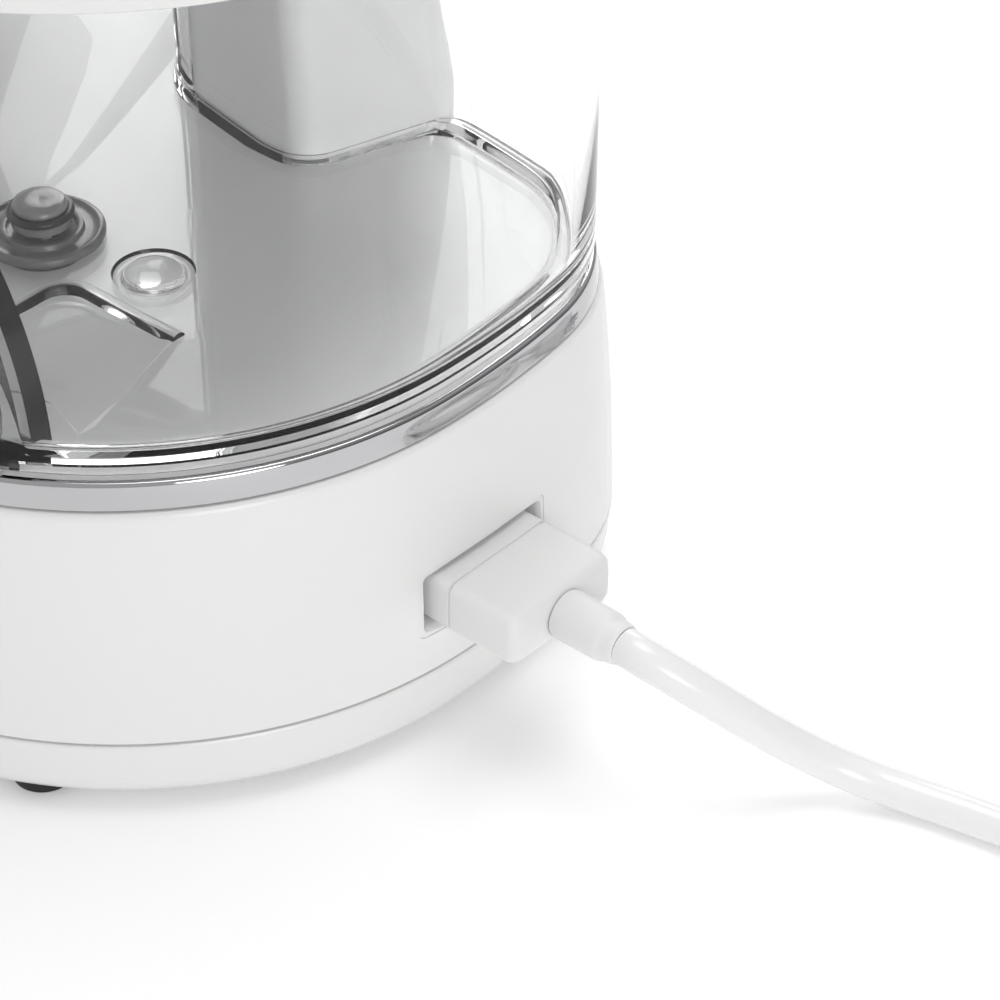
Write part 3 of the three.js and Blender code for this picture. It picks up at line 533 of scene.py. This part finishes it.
def ease(value):
    value = min(1.0, max(0.0, value))
    return value * value * (3 - 2 * value)


def coil_point(turned):
    """A point of the coil by the degrees wound since it began: three turns inwards, then three out on top."""
    inwards = ease((turned - 300) / 60) + ease((turned - 660) / 60)
    outwards = ease((turned - 1260) / 60) + ease((turned - 1620) / 60)
    radius = OUTER_TURN - TURN_STEP * (inwards - outwards)
    height = LEAD_R + 6.3 * ease((turned - 960) / 60)
    angle = math.radians(COIL_START + turned)
    return (COIL_X + radius * math.cos(angle), COIL_Y + radius * math.sin(angle), height)


COIL_TURNED = 5 * 360 + 90 - COIL_START
COIL = [coil_point(COIL_TURNED * k / 109) for k in range(110)]
ROUTE = LEAD_START + COIL + LEAD_END


def make_lead():
    curve = bpy.data.curves.new("power_lead_sheath", "CURVE")
    curve.dimensions = "3D"
    curve.bevel_depth = LEAD_R * MM
    curve.bevel_resolution = 6
    curve.resolution_u = 5
    curve.use_fill_caps = True
    spline = curve.splines.new("BEZIER")
    spline.bezier_points.add(len(ROUTE) - 1)
    for point, place_ in zip(spline.bezier_points, ROUTE):
        point.co = Vector(place_) * MM
        point.handle_left_type = point.handle_right_type = "AUTO"
    lead = bpy.data.objects.new("power_lead_sheath", curve)
    bpy.context.scene.collection.objects.link(lead)
    return finish_piece(lead, "lead", SHEATH, "cord_sheath", "power_lead", "lead_coil", "lead_tail")


def make_connector():
    levels = [(63, 1.2), (63.4, 0.5), (64.2, 0), (74.3, 0), (74.4, 0.3), (74.75, 0.3), (74.85, 0)]
    levels += [(86, 0), (86.9, 0.25), (87.5, 0.8), (87.85, 1.6)]
    loops = []
    for x, inset in levels:
        outline = rounded_box(
            PLUG_Y - PLUG_HALF_WIDTH + inset,
            PLUG_Y + PLUG_HALF_WIDTH - inset,
            PLUG_Z - PLUG_HALF_HEIGHT + inset,
            PLUG_Z + PLUG_HALF_HEIGHT - inset,
            1.7,
        )
        loops.append([place(u, v, x, "x") for u, v in outline])
    connector = loft("connector_body", loops, sharp=40)
    for side in (-1, 1):
        combine(connector, rod("pin_hole", 1.35, (PLUG_Y + side * 4, PLUG_Z), 60, 72, "x", 24))
    return finish_piece(connector, "lead", SATIN, "satin_plastic", "lead_connector")


def make_strain_relief():
    end = RELIEF_END_X - 0.05
    start = PLUG_OUTER_X + 0.2
    profile = [(0, start), (3.9, start), (4.1, 88.6), (4.05, 92), (4.0, 96.4), (3.75, 97.1)]
    profile += [(3.5, 97.4), (3.45, 98.4), (3.3, end - 0.3), (3.05, end), (0, end)]
    relief = lathe("strain_relief", profile, (PLUG_Y, PLUG_Z), "x", 48, 50)
    return finish_piece(relief, "lead", SATIN, "satin_plastic", "lead_strain_relief")


def make_mains_plug():
    levels = [(0, 2.4), (0.3, 1.2), (1.2, 0.35), (2.6, 0), (18, 0.3), (21.5, 1.2), (23.4, 3.2), (24, 5)]
    loops = []
    for depth, inset in levels:
        outline = rounded_box(
            TAIL_Y - MAINS_HALF_WIDTH + inset,
            TAIL_Y + MAINS_HALF_WIDTH - inset,
            TAIL_Z - MAINS_HALF_HEIGHT + min(inset, 4),
            TAIL_Z + MAINS_HALF_HEIGHT - min(inset, 4),
            3.2 if inset > 3 else 4,
        )
        loops.append([place(u, v, MAINS_FRONT + depth, "x") for u, v in outline])
    body = loft("mains_plug_body", loops, sharp=40)
    start = MAINS_FRONT + 23.4
    neck = [(0, start), (6.3, start)]
    for k in range(5):
        x = start + 0.8 + 2.6 * k
        rib, groove = 6.2 - 0.42 * k, 4.6 - 0.2 * k
        neck += [(rib, x), (rib, x + 1.5), (groove, x + 1.7), (groove, x + 2.4)]
    neck += [(3.7, MAINS_REAR - 0.6), (3.5, MAINS_REAR - 0.1), (0, MAINS_REAR - 0.1)]
    combine(body, lathe("neck", neck, (TAIL_Y, TAIL_Z), "x", 40), "UNION")
    return finish_piece(body, "lead", WHITE, "white_plastic", "mains_plug")


def make_blade(side, node):
    y = TAIL_Y + side * 6.35
    tip = MAINS_FRONT - 17.3
    levels = [(tip, 0.5), (tip + 0.3, 0.2), (tip + 1.1, 0), (MAINS_FRONT - 0.3, 0)]
    loops = []
    for x, inset in levels:
        thick, tall = 0.75 - inset, 3.2 - inset
        outline = rounded_box(y - thick, y + thick, TAIL_Z - tall, TAIL_Z + tall, 0.2, 3)
        loops.append([place(u, v, x, "x") for u, v in outline])
    blade = loft(node + "_contact", loops)
    combine(blade, rod("blade_hole", 1.5, (tip + 3.3, TAIL_Z), y - 2, y + 2, "y", 24))
    return finish_piece(blade, "lead", STEEL, "steel", node)


make_connector()
make_strain_relief()
lead = make_lead()
mains_plug = make_mains_plug()
blades = [make_blade(-1, "plug_blade_1"), make_blade(1, "plug_blade_2")]


# ---------------------------------------------------------------- base
def slices(loop, levels, *extra):
    """Loops of the same kind at a list of levels (height, offset or sizes...)."""
    return [loop(*level, *extra) for level in levels]


def make_housing():
    outside = [(14.3, 2.6), (14.32, 3.0), (14.65, 3.3), (24, 3.05), (34, 2.75), (44, 2.1), (51, 1.55)]
    outside += [(54, 1.25), (55, 1.05), (55.6, 0.8), (55.9, 0.45), (56, 0), (56, -1.5)]
    outside += [(59.9, -1.5), (60.2, -1.8)]
    inside = [(57.6, -4.4), (54, -1.9), (40, -0.1), (14.35, 0.9)]
    levels = [(z, offset, 2.4) for z, offset in inside] + [(z, offset, 0.3) for z, offset in outside]
    housing = loft("housing_shell", slices(notched_loop, levels, 1.5))
    combine(housing, rod("valve_recess", 7.0, VALVE, 55, 62))
    combine(housing, prism("pod_slot", [(-12, -57), (12, -57), (12, -48), (-12, -48)], 55, 62))
    combine(housing, prism("socket_hole", socket_outline(1.26, 1.36), 60, 80, "x"))
    return finish_piece(housing, "base", WHITE, "white_plastic", "base_housing")


def socket_outline(grow, radius):
    wide, tall = 12.8 + grow, 5 + grow
    return rounded_box(PLUG_Y - wide, PLUG_Y + wide, PLUG_Z - tall, PLUG_Z + tall, radius)


def make_socket():
    envelope = [(14.5, 3.2), (34, 2.7), (54, 1.2)]
    socket = prism("socket_frame", socket_outline(1.2, 1.3), 60.6, 80, "x")
    combine(socket, loft("envelope", slices(plain_loop, envelope)), "INTERSECT")
    mouth_levels = [(62.2, 0, 0.8), (70.4, 0, 0.8), (71.1, 0.25, 1.0), (71.8, 0.85, 1.2), (82, 1.0, 1.25)]
    loops = [
        [place(u, v, x, "x") for u, v in socket_outline(grow, radius)]
        for x, grow, radius in mouth_levels
    ]
    combine(socket, loft("recess", loops))
    for side in (-1, 1):
        combine(socket, rod("pin_hole", 1.3, (PLUG_Y + side * 4, PLUG_Z), 58, 66, "x", 24))
    return finish_piece(socket, "base", SATIN, "satin_plastic", "power_socket")


def make_pan():
    outside = [(2, -2.4), (2, -1.6), (2.25, -0.7), (3, 0.6), (4, 1.35), (5.2, 2.0), (6.5, 2.4), (9, 2.8)]
    outside += [(13.6, 3.28), (13.9, 3.1), (14, 2.7)]
    inside = [(14, 0.9), (9, 0.2), (5.2, -1.6), (4.6, -2.4)]
    pan = loft("base_pan", slices(plain_loop, outside + inside))
    for x, y in SCREWS:
        combine(pan, rod("screw_well", 3.6, (x, y), 0, 9))
    for x, y in FEET:
        combine(pan, rod("foot_seat", 5.3, (x, y), 0, 3))
    return finish_piece(pan, "base", WHITE, "white_plastic", "bottom_pan")


def make_ring():
    levels = [(56.32, 0.1), (56.5, 0.38), (60.3, 0.06), (60.75, -0.12), (60.98, -0.5), (60.98, -1.0)]
    levels += [(60.7, -1.18), (56.6, -1.18), (56.32, -0.9)]
    loops = [notched_loop(z, offset, 0.3, 1.5) for z, offset in levels]
    ring = loft("chrome_trim_ring", loops, ring=True, sharp=50)
    return finish_piece(ring, "base", CHROME, "chrome", "chrome_ring")


def make_foot(x, y, node):
    profile = [(0, 0.35), (3, 0.35), (3.3, 0), (4.5, 0), (4.85, 0.15), (5, 0.5), (5, 2.6), (4.9, 2.7)]
    profile += [(0, 2.7)]
    return finish_piece(lathe(node + "_pad", profile, (x, y)), "base", FOOT, "rubber", node)


def make_tower():
    low = [(14.4, 3.0), (15, 3.25), (34, 2.7), (54.5, 1.15), (56, 0.35), (56.1, -0.25), (60, -0.25)]
    walls = [(z, offset, 0.0) for z, offset in low + [(143, -0.25), (146, -0.3)]]
    top = [(146.9, -0.5, -0.25), (147.5, -0.95, -0.7), (147.85, -1.6, -1.3), (148, -2.4, -2.1)]
    tower = loft("dock_column", slices(tower_loop, walls + top))
    combine(tower, rod("channel", 12.5, (TOWER_X, HANDLE_Y), 29, 170, "z", 72))
    span = (TOWER_X - 12.5, TOWER_X + 12.5)
    mouth_box = [(span[0], HANDLE_Y), (span[1], HANDLE_Y), (span[1], 80), (span[0], 80)]
    combine(tower, prism("channel_mouth", mouth_box, 29, 170))
    slot_box = [(TOWER_X - 6, 41), (TOWER_X + 6, 41), (TOWER_X + 6, 80), (TOWER_X - 6, 80)]
    combine(tower, prism("hose_slot", slot_box, 0, 40))
    combine(tower, rod("outlet_hole", 3.6, (TOWER_X, 20), 30, 44, "y", 32))
    return finish_piece(tower, "base", SATIN, "satin_plastic", "dock_tower")


def make_pod():
    front = [(-60.5, -2.2), (-60.45, -1.2), (-60.1, -0.5), (-59.5, -0.1), (-58.8, 0)]
    back = [(-2.9, 0), (-2.6, -0.15), (-2.5, -1.0), (-0.4, -1.0), (-0.1, -1.6), (0, -2.6)]
    levels = front + [(POD_BACK_Y + depth, grow) for depth, grow in back]
    pod = arch_body("pod_shell", levels, DECK_TOP + 0.3)
    limit = [(60.4, -1.6), (61.15, -1.6), (61.3, -0.4), (110, 0.1)]
    combine(pod, loft("limit", slices(plain_loop, limit)), "INTERSECT")
    inner = arch_body("pod_cavity", [(POD_FACE_Y + 2.4, -2.4), (POD_BACK_Y - 2.4, -2.4)], 59)
    combine(inner, loft("inner_limit", slices(plain_loop, [(58, -2.9), (110, -2.4)])), "INTERSECT")
    combine(pod, inner)
    combine(pod, rod("dial_hole", 4.2, (0, DIAL_Z), -80, -50, "y"))
    for side in (-1, 1):
        centre = (side * BUTTON_X, BUTTON_Z)
        well = [(0, -80), (5.6, -80), (5.3, -60.4), (4.8, -59.9), (4.8, -50), (0, -50)]
        combine(pod, lathe("button_well", well, centre, "y"))
    return finish_piece(pod, "base", WHITE, "white_plastic", "control_pod")


def make_pod_gasket():
    section = [(-2.1, -0.7), (-2.2, -0.3), (-2.0, 0.05), (-1.6, 0.2)]
    section += [(-0.6, 0.2), (-0.2, 0.05), (0, -0.3), (-0.1, -0.7)]
    low = DECK_TOP + 0.3
    loops = [[(x, POD_BACK_Y + depth, z) for x, z in arch_outline(grow, low)] for depth, grow in section]
    gasket = open_strip("arch_gasket", loops)
    limit = [(60.5, -1.05), (110, -1.05)]
    combine(gasket, loft("limit", slices(plain_loop, limit)), "INTERSECT")
    return finish_piece(gasket, "base", RUBBER, "rubber", "pod_gasket")


def open_strip(name, loops):
    """A band: each loop is one open line along it, and the lines close on each other round its section."""
    count = len(loops[0])
    points = [p for loop in loops for p in loop]
    faces = []
    for line in range(len(loops)):
        this, following = line * count, ((line + 1) % len(loops)) * count
        for k in range(count - 1):
            faces.append((this + k, this + k + 1, following + k + 1, following + k))
    for end in (0, count - 1):
        faces.append(tuple(line * count + end for line in range(len(loops))))
    return make_object(name, points, faces)


def make_dial():
    """The dial's turned cap, with a fluted edge, a finger dish and a pointer groove."""
    face = POD_FACE_Y
    profile = [(0, face - 4.6), (8.6, face - 4.6), (9.8, face - 4.9), (10.6, face - 5.2), (11.6, face - 5.1)]
    profile += [(12.5, face - 4.4), (12.95, face - 3.6), (13, face - 0.9)]
    profile += [(12.6, face - 0.35), (3.6, face - 0.35)]
    profile += [(3.6, face + 6.9), (0, face + 7)]
    segments, flutes = 192, 24
    loops = []
    for radius, y in profile:
        loop = []
        for k in range(segments):
            angle = 2 * math.pi * k / segments
            dip = 0.45 * max(0.0, math.cos(flutes * angle)) ** 2 if radius > 12 else 0
            reach = max(radius - dip, 0.01)
            loop.append((reach * math.cos(angle), y, DIAL_Z + reach * math.sin(angle)))
        loops.append(loop)
    dial = loft("dial_cap", loops, sharp=28)
    groove = rounded_box(-0.7, 0.7, DIAL_Z + 4.6, DIAL_Z + 9.4, 0.65)
    combine(dial, prism("pointer", groove, face - 8, face - 4.1, "y"))
    return finish_piece(dial, "dial", GREY, "grey_plastic", "pressure_dial")


def make_button(x, body, node):
    face = POD_FACE_Y
    profile = [(0, face - 1.45), (2.6, face - 1.5), (3.7, face - 1.75), (4.2, face - 1.6), (4.5, face - 1.1)]
    profile += [(4.5, face + 2.8), (5.5, face + 2.8), (5.5, face + 4.1), (0, face + 4.1)]
    button = lathe(node + "_cap", profile, (x, BUTTON_Z), "y")
    return finish_piece(button, body, GREY, "grey_plastic", node)


SCREWS = [(56, -18), (-56, -18), (50, 38), (-50, 38)]
FEET = [(31.9, -48.6), (-31.9, -48.6), (42, 38), (-42, 38)]
make_housing()
make_socket()
make_pan()
make_ring()
for number, (foot_x, foot_y) in enumerate(FEET, 1):
    make_foot(foot_x, foot_y, f"foot_{number}")
make_tower()
make_pod()
make_pod_gasket()
make_dial()
make_button(-BUTTON_X, "power_button", "power_button")
make_button(BUTTON_X, "mode_button", "mode_button")


# ---------------------------------------------------------------- tank and its valve
def make_tank():
    groove = [(61.3, -5.8), (62.6, -5.8), (62.9, -5.5), (62.9, -3.3), (62.6, -3.0), (61.3, -3.0)]
    outside = groove + [(61.3, -2.6), (61.45, -1.7), (61.9, -1.0), (62.6, -0.5), (63.6, -0.25), (65, -0.2)]
    outside += [(90, -0.02), (115, 0.2), (139.0, 0.46), (139.6, 0.3), (139.8, -0.2)]
    tank = loft("tank_bowl", [notched_loop(z, offset, 0.6) for z, offset in outside])
    combine(tank, arch_body("arch", [(-80, 0.8), (POD_BACK_Y + 0.8, 0.8)], 55))
    floor = [(TANK_FLOOR, -7.6), (TANK_FLOOR + 0.05, -7.2), (63.45, -6.7), (63.9, -6.25)]
    floor += [(64.4, -5.95), (64.8, -5.6)]
    ledge = [(65.0, -5.2), (65.05, -4.6), (65.05, -3.9), (65.2, -3.4)]
    ledge += [(65.6, -3.0), (66.3, -2.7), (67.6, -2.5)]
    walls = [(90, -2.35), (115, -2.2), (141, -2.0)]
    levels = [(z, offset, 3.1 + 0.15 * max(0.0, -2.5 - offset)) for z, offset in floor + ledge + walls]
    cavity = loft("cavity", [notched_loop(z, offset, grow, 5.0) for z, offset, grow in levels])
    combine(cavity, arch_body("arch_wall", [(-80, 3.3), (POD_BACK_Y + 3.3, 3.3)], 58))
    combine(tank, cavity)
    combine(tank, rod("valve_hole", 6.6, VALVE, 55, 80))
    groove = [(4.6, 64), (4.7, 63.1), (5.1, 62.6), (5.7, 62.5), (6.2, 62.7), (6.5, 63.15), (6.6, 64)]
    combine(tank, lathe("dimple_groove", groove, (15.2, -4.2)))
    dome = [(0, 62.4), (4.6, 62.4), (4.6, 63.1), (4.2, 63.45), (3.2, 63.85), (1.8, 64.1), (0, 64.2)]
    combine(tank, lathe("dimple_dome", dome, (15.2, -4.2)), "UNION")
    pocket = []
    for z, x in ((62.5, 28.2), (63.25, 30.4), (64, 31)):
        corners = rounded([(7, -38, 1), (x, -38, 1), (x, -14.8, 1), (7, -14.8, 5)], 8)
        pocket.append([(u, v, z) for u, v in corners])
    combine(tank, loft("pocket", pocket))
    combine(tank, make_ridge(), "UNION")
    return finish_piece(tank, "tank", CLEAR, "clear_plastic", "tank_shell")


def make_ridge():
    """The rounded rib that borders the floor's pocket on the side away from the pod."""
    corners = [(6.4, -37, 0), (6.4, -14.2, 5.5), (31, -14.2, 0)]
    path = [Vector(p) for p in rounded(corners, 10)]
    sections = []
    for k, point in enumerate(path):
        ahead = path[min(k + 1, len(path) - 1)] - path[max(k - 1, 0)]
        across = Vector((-ahead.y, ahead.x)).normalized()
        lobe = [math.pi * j / 8 for j in range(9)]
        section = [(point + across * 1.3 * math.cos(a), 63.1 + 1.1 * math.sin(a)) for a in lobe]
        section += [(point - across * 1.3, 62.4), (point + across * 1.3, 62.4)]
        sections.append([(p.x, p.y, z) for p, z in section])
    return loft("ridge", sections)


def make_valve_seat():
    corners = [(5.2, 58.2, 0.2), (6.2, 58.2, 0.2), (6.2, 63.4, 0), (9.9, 63.4, 0.3), (9.9, 64.6, 0.5)]
    corners += [(8.9, 64.9, 0.4), (8.4, 64.4, 0.3), (6.6, 64.4, 0.2), (6.4, 65.2, 0.2)]
    corners += [(5.6, 65.2, 0.2), (5.4, 64.4, 0.1)]
    corners += [(3.3, 64.4, 0.1), (3.3, 63.2, 0.1), (5.2, 63.2, 0.1)]
    seat = lathe("valve_seat_ring", soft_profile(corners), VALVE, sharp=50)
    return finish_piece(seat, "tank", SMOKE, "dark_plastic", "valve_seat")


def make_plunger():
    """The valve's foot and stem, the body under its seal, the seal's groove and the domed cap."""
    profile = [(0, 57), (4.2, 57), (4.4, 57.2), (4.4, 58.3), (4.2, 58.4), (1.6, 58.4), (1.6, 65.5)]
    profile += [(4.4, 65.5), (4.7, 65.8), (4.7, 66.9), (4.5, 67.1), (3.75, 67.2), (3.75, 68.5)]
    profile += [(4.1, 68.5), (4.3, 68.7)]
    profile += [(4.3, 69.1), (4.15, 69.45), (3.8, 69.7), (3.2, 69.85), (2.2, 69.9), (0, 69.8)]
    plunger = lathe("valve_cap", profile, VALVE, sharp=40)
    return finish_piece(plunger, "valve", CAP, "grey_plastic", "valve_plunger")


def make_o_ring():
    turn = [2 * math.pi * k / 20 for k in range(20)]
    profile = [(4.55 + 0.78 * math.cos(a), 67.85 + 0.66 * math.sin(a)) for a in turn]
    seal = lathe("valve_seal", profile, VALVE, sharp=80)
    return finish_piece(seal, "valve", RUBBER, "rubber", "valve_o_ring")


def make_spring(wire=0.33, radius=2.7, turns=4, low=59.13, high=64.47):
    """The valve's coil spring round the stem, built at one fixed length; in the valve it is pressed flat
    against the seat as the valve lifts.
    """
    loops = []
    for k in range(turns * 24 + 1):
        share = k / (turns * 24)
        turn = 2 * math.pi * turns * share
        outward = Vector((math.cos(turn), math.sin(turn), 0))
        centre = Vector((*VALVE, low + (high - low) * share)) + outward * radius
        around = [2 * math.pi * j / 10 for j in range(10)]
        upward = Vector((0, 0, 1))
        loops.append([centre + (outward * math.cos(a) + upward * math.sin(a)) * wire for a in around])
    spring = finish_piece(loft("valve_coil_spring", loops), "tank", STEEL, "steel", "valve_spring")
    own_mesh(spring)


make_tank()
make_valve_seat()
make_plunger()
make_o_ring()
make_spring()


# ---------------------------------------------------------------- lid and its tip compartment
WELL = (12, 54, -22, 10)
WELL_FLOOR = 141.6


def well_outline(side, back, radius):
    x0, x1, y0, y1 = WELL
    return rounded_box(x0 - side, x1 + side, y0 - side, y1 + back, radius)


def make_lid():
    levels = [(138.4, 1.3, 0.8), (138.4, 1.7, 0.8), (138.7, 2.0, 0.8), (148, 1.9, 0.8), (149.6, 1.5, 0.8)]
    levels += [(151, 0.7, 1.0), (152, -0.4, 1.5), (152.6, -1.6, 2.2), (153.05, -3.2, 3.4), (153.2, -5.2, 5.0)]
    lid = loft("lid_top", slices(notched_loop, levels))
    combine(lid, loft("skirt", slices(plain_loop, [(137, 0.9), (141.4, 0.9)])))
    hollow = [(141, -2.6, 3.0), (148.6, -2.6, 3.0), (150.8, -5.2, 5.0)]
    combine(lid, loft("hollow", slices(notched_loop, hollow)))
    combine(lid, prism("well_wall", well_outline(2, 2, 4), WELL_FLOOR - 1.8, 152), "UNION")
    combine(lid, prism("well", well_outline(0, 0, 2.5), WELL_FLOOR, 160))
    combine(lid, prism("cover_seat", well_outline(1.3, 3.6, 3), 150.9, 160))
    return finish_piece(lid, "lid", WHITE, "white_plastic", "lid_shell")


def make_tip_cover():
    levels = [(151.2, 0.1), (151.2, 0), (152.8, 0), (153.05, 0.12), (153.2, 0.45)]
    loops = [[(x, y, z) for x, y in well_outline(1 - inset, 0.8 - inset, 2.8 - inset)] for z, inset in levels]
    cover = loft("tip_cover_plate", loops, sharp=45)
    middle = (WELL[3] + 1.9, 152)
    combine(cover, rod("knuckle", 1, middle, WELL[0] + 6, WELL[1] - 6, "x", 32), "UNION")
    combine(cover, rod("finger_dish", 6, (33, 156.6), WELL[2] - 4.5, WELL[2] + 1.5, "y"))
    return finish_piece(cover, "tip_cover", WHITE, "white_plastic", "tip_cover")


def make_spare_tip(y, node):
    z = WELL_FLOOR + 3.5
    profile = [(0.6, 15), (2.9, 15), (3.2, 15.3), (3.2, 23.7), (2.9, 24), (2.3, 24), (1.5, 28.8), (1.4, 29)]
    profile += [(1.05, 47.6), (0.85, 48.5), (0.6, 48.5)]
    tip = lathe(node + "_body", profile, (y, z), "x", 32, 40)
    return finish_piece(tip, "lid", TUBE, "tube_plastic", node)


make_lid()
make_tip_cover()
make_spare_tip(-14, "spare_tip_1")
make_spare_tip(1, "spare_tip_2")


# ---------------------------------------------------------------- handpiece
HANDLE = (TOWER_X, HANDLE_Y)


def make_handle():
    corners = [(0, 29.3, 0), (9.5, 29.3, 0.8), (12, 32, 1.0), (12, 60, 0.4)]
    corners += [(10.9, 60, 0.2), (10.9, 108, 0.2)]
    corners += [(12, 108, 0.4), (12, 150, 0.3), (9.6, 150, 0), (9.6, 32.5, 0), (0, 32.5, 0)]
    handle = lathe("handle_shell", soft_profile(corners), HANDLE, segments=72, sharp=40)
    combine(handle, rod("hose_hole", 2.6, HANDLE, 20, 40))
    x, y = HANDLE
    slot = rounded_box(x - 4.3, x + 4.3, 119.7, 136.3, 1.2)
    combine(handle, prism("button_slot", slot, y, y + 20, "y"))
    return finish_piece(handle, "handpiece", WHITE, "white_plastic", "handle_body")


def make_grip():
    """The grip sleeve, with turned ribs."""
    profile = [(11.2, 60.3), (11.7, 60.3), (12, 60.7)]
    for k in range(15):
        z = 62.6 + 3 * k
        profile += [(12, z), (11.62, z + 0.4), (11.62, z + 1.1), (12, z + 1.5)]
    profile += [(12, 107.3), (11.7, 107.7), (11.2, 107.7)]
    grip = lathe("grip_sleeve", profile, HANDLE, sharp=40)
    return finish_piece(grip, "handpiece", GREY, "grey_plastic", "handle_grip")


def make_handle_cap():
    corners = [(6.6, 150.3, 0), (12, 150.3, 0.4), (12, 154, 1.5), (9.4, 160, 1.2), (6.6, 160, 0.3)]
    cap = lathe("handle_collar_cap", soft_profile(corners, 5), HANDLE, segments=72, sharp=50)
    return finish_piece(cap, "handpiece", WHITE, "white_plastic", "handle_cap")


def make_pause_button():
    x, y = HANDLE
    levels = [(y + 5.6, -0.6, 1.0), (y + 8.1, -0.6, 1.0), (y + 8.1, 0, 1.0)]
    levels += [(y + 11.6, 0, 1.0), (y + 12.0, 0.3, 1.2)]
    levels += [(y + 12.2, 0.9, 1.2)]
    loops = []
    for depth, inset, radius in levels:
        outline = rounded_box(x - 4 + inset, x + 4 - inset, 120 + inset, 136 - inset, radius)
        loops.append([place(u, v, depth, "y") for u, v in outline])
    button = loft("pause_key", loops, sharp=40)
    return finish_piece(button, "pause_button", GREY, "grey_plastic", "pause_button")


def make_collar():
    corners = [(2.6, 149.8, 0), (6.2, 149.8, 0.3), (6.2, 160.3, 0), (8.6, 160.3, 0.3)]
    corners += [(8.6, 166, 0.6), (7.4, 168, 0.5)]
    corners += [(2.6, 168, 0.2)]
    profile = soft_profile(corners)
    segments, flutes = 144, 24
    loops = []
    for radius, z in profile:
        loop = []
        for k in range(segments):
            angle = 2 * math.pi * k / segments
            dip = 0.3 * max(0.0, math.cos(flutes * angle)) if radius > 8 else 0
            reach = radius - dip
            loop.append((TOWER_X + reach * math.cos(angle), HANDLE_Y + reach * math.sin(angle), z))
        loops.append(loop)
    collar = loft("collar_ring", loops, ring=True, sharp=40)
    return finish_piece(collar, "collar", GREY, "grey_plastic", "nozzle_collar")


def make_nozzle():
    corners = [(0.9, 152, 0), (2.3, 152, 0.2), (2.3, 168.3, 0), (4.6, 168.3, 0.3)]
    corners += [(4.6, 174, 1.2), (3.2, 178, 1.5)]
    corners += [(1.9, 222, 0.3), (0.9, 222, 0)]
    nozzle = lathe("nozzle_stem", soft_profile(corners, 5), HANDLE, segments=40, sharp=50)
    return finish_piece(nozzle, "nozzle", CLEAR, "clear_plastic", "jet_nozzle")


def make_nozzle_tip():
    curve = bpy.data.curves.new("nozzle_point", "CURVE")
    curve.dimensions = "3D"
    curve.bevel_depth = 1.65 * MM
    curve.bevel_resolution = 6
    curve.use_fill_caps = True
    stations = [((0, 222.4), 1), ((0, 226.8), 1), ((-1.6, 231.3), 0.85), ((-4.8, 233.5), 0.62)]
    spline = curve.splines.new("BEZIER")
    spline.bezier_points.add(len(stations) - 1)
    for point, ((back, z), share) in zip(spline.bezier_points, stations):
        point.co = Vector((TOWER_X, HANDLE_Y + back, z)) * MM
        point.radius = share
        point.handle_left_type = point.handle_right_type = "AUTO"
    tip = bpy.data.objects.new("nozzle_point", curve)
    bpy.context.scene.collection.objects.link(tip)
    return finish_piece(tip, "nozzle", SATIN, "satin_plastic", "nozzle_tip")


make_handle()
make_grip()
make_handle_cap()
make_pause_button()
make_collar()
make_nozzle()
make_nozzle_tip()


# ---------------------------------------------------------------- light and floor
def make_floor():
    half = 4000
    corners = [(-half, -half, 0), (half, -half, 0), (half, half, 0), (-half, half, 0)]
    floor = make_object("floor", corners, [(0, 1, 2, 3)])
    material, tree, surface = shader("floor_paper")
    surface.inputs["Base Color"].default_value = (0.9, 0.9, 0.9, 1)
    surface.inputs["Specular IOR Level"].default_value = 0.15
    surface.inputs["Emission Color"].default_value = (1, 1, 1, 1)
    surface.inputs["Emission Strength"].default_value = 0.15
    tree.links.new(spread(tree, noise(tree, 30), 0.7, 0.8), surface.inputs["Roughness"])
    floor.data.materials.append(material)


def make_light(name, place_, target, size, power):
    data = bpy.data.lights.new(name, "AREA")
    data.shape = "DISK"
    data.size, data.energy = size, power
    light = bpy.data.objects.new(name, data)
    light.location = place_
    light.rotation_euler = (Vector(target) - Vector(place_)).to_track_quat("-Z", "Y").to_euler()
    bpy.context.scene.collection.objects.link(light)


def make_world():
    """An even white room that is darker low down behind the part's right side."""
    world = bpy.data.worlds.new("studio")
    world.use_nodes = True
    tree = world.node_tree
    coordinates = tree.nodes.new("ShaderNodeTexCoord")
    towards = tree.nodes.new("ShaderNodeVectorMath")
    towards.operation = "DOT_PRODUCT"
    towards.inputs[1].default_value = (0.8, 0.5, -0.35)
    ramp = tree.nodes.new("ShaderNodeValToRGB")
    ramp.color_ramp.elements[0].position, ramp.color_ramp.elements[1].position = 0.15, 0.8
    ramp.color_ramp.elements[0].color = (1, 1, 1, 1)
    ramp.color_ramp.elements[1].color = (0.3, 0.3, 0.3, 1)
    tree.links.new(coordinates.outputs["Generated"], towards.inputs[0])
    tree.links.new(towards.outputs["Value"], ramp.inputs["Fac"])
    tree.links.new(ramp.outputs["Color"], tree.nodes["Background"].inputs["Color"])
    tree.nodes["Background"].inputs["Strength"].default_value = 0.58
    bpy.context.scene.world = world


make_floor()
make_world()
make_light("top", (0.05, 0.15, 1.1), (0, 0, 0.06), 0.8, 5.5)
make_light("right", (1.0, -0.45, 0.4), (0, 0, 0.06), 0.5, 3.2)
make_light("back", (-0.5, 0.75, 0.55), (0, 0, 0.08), 0.6, 2.5)
bpy.context.scene.view_settings.view_transform = "Standard"
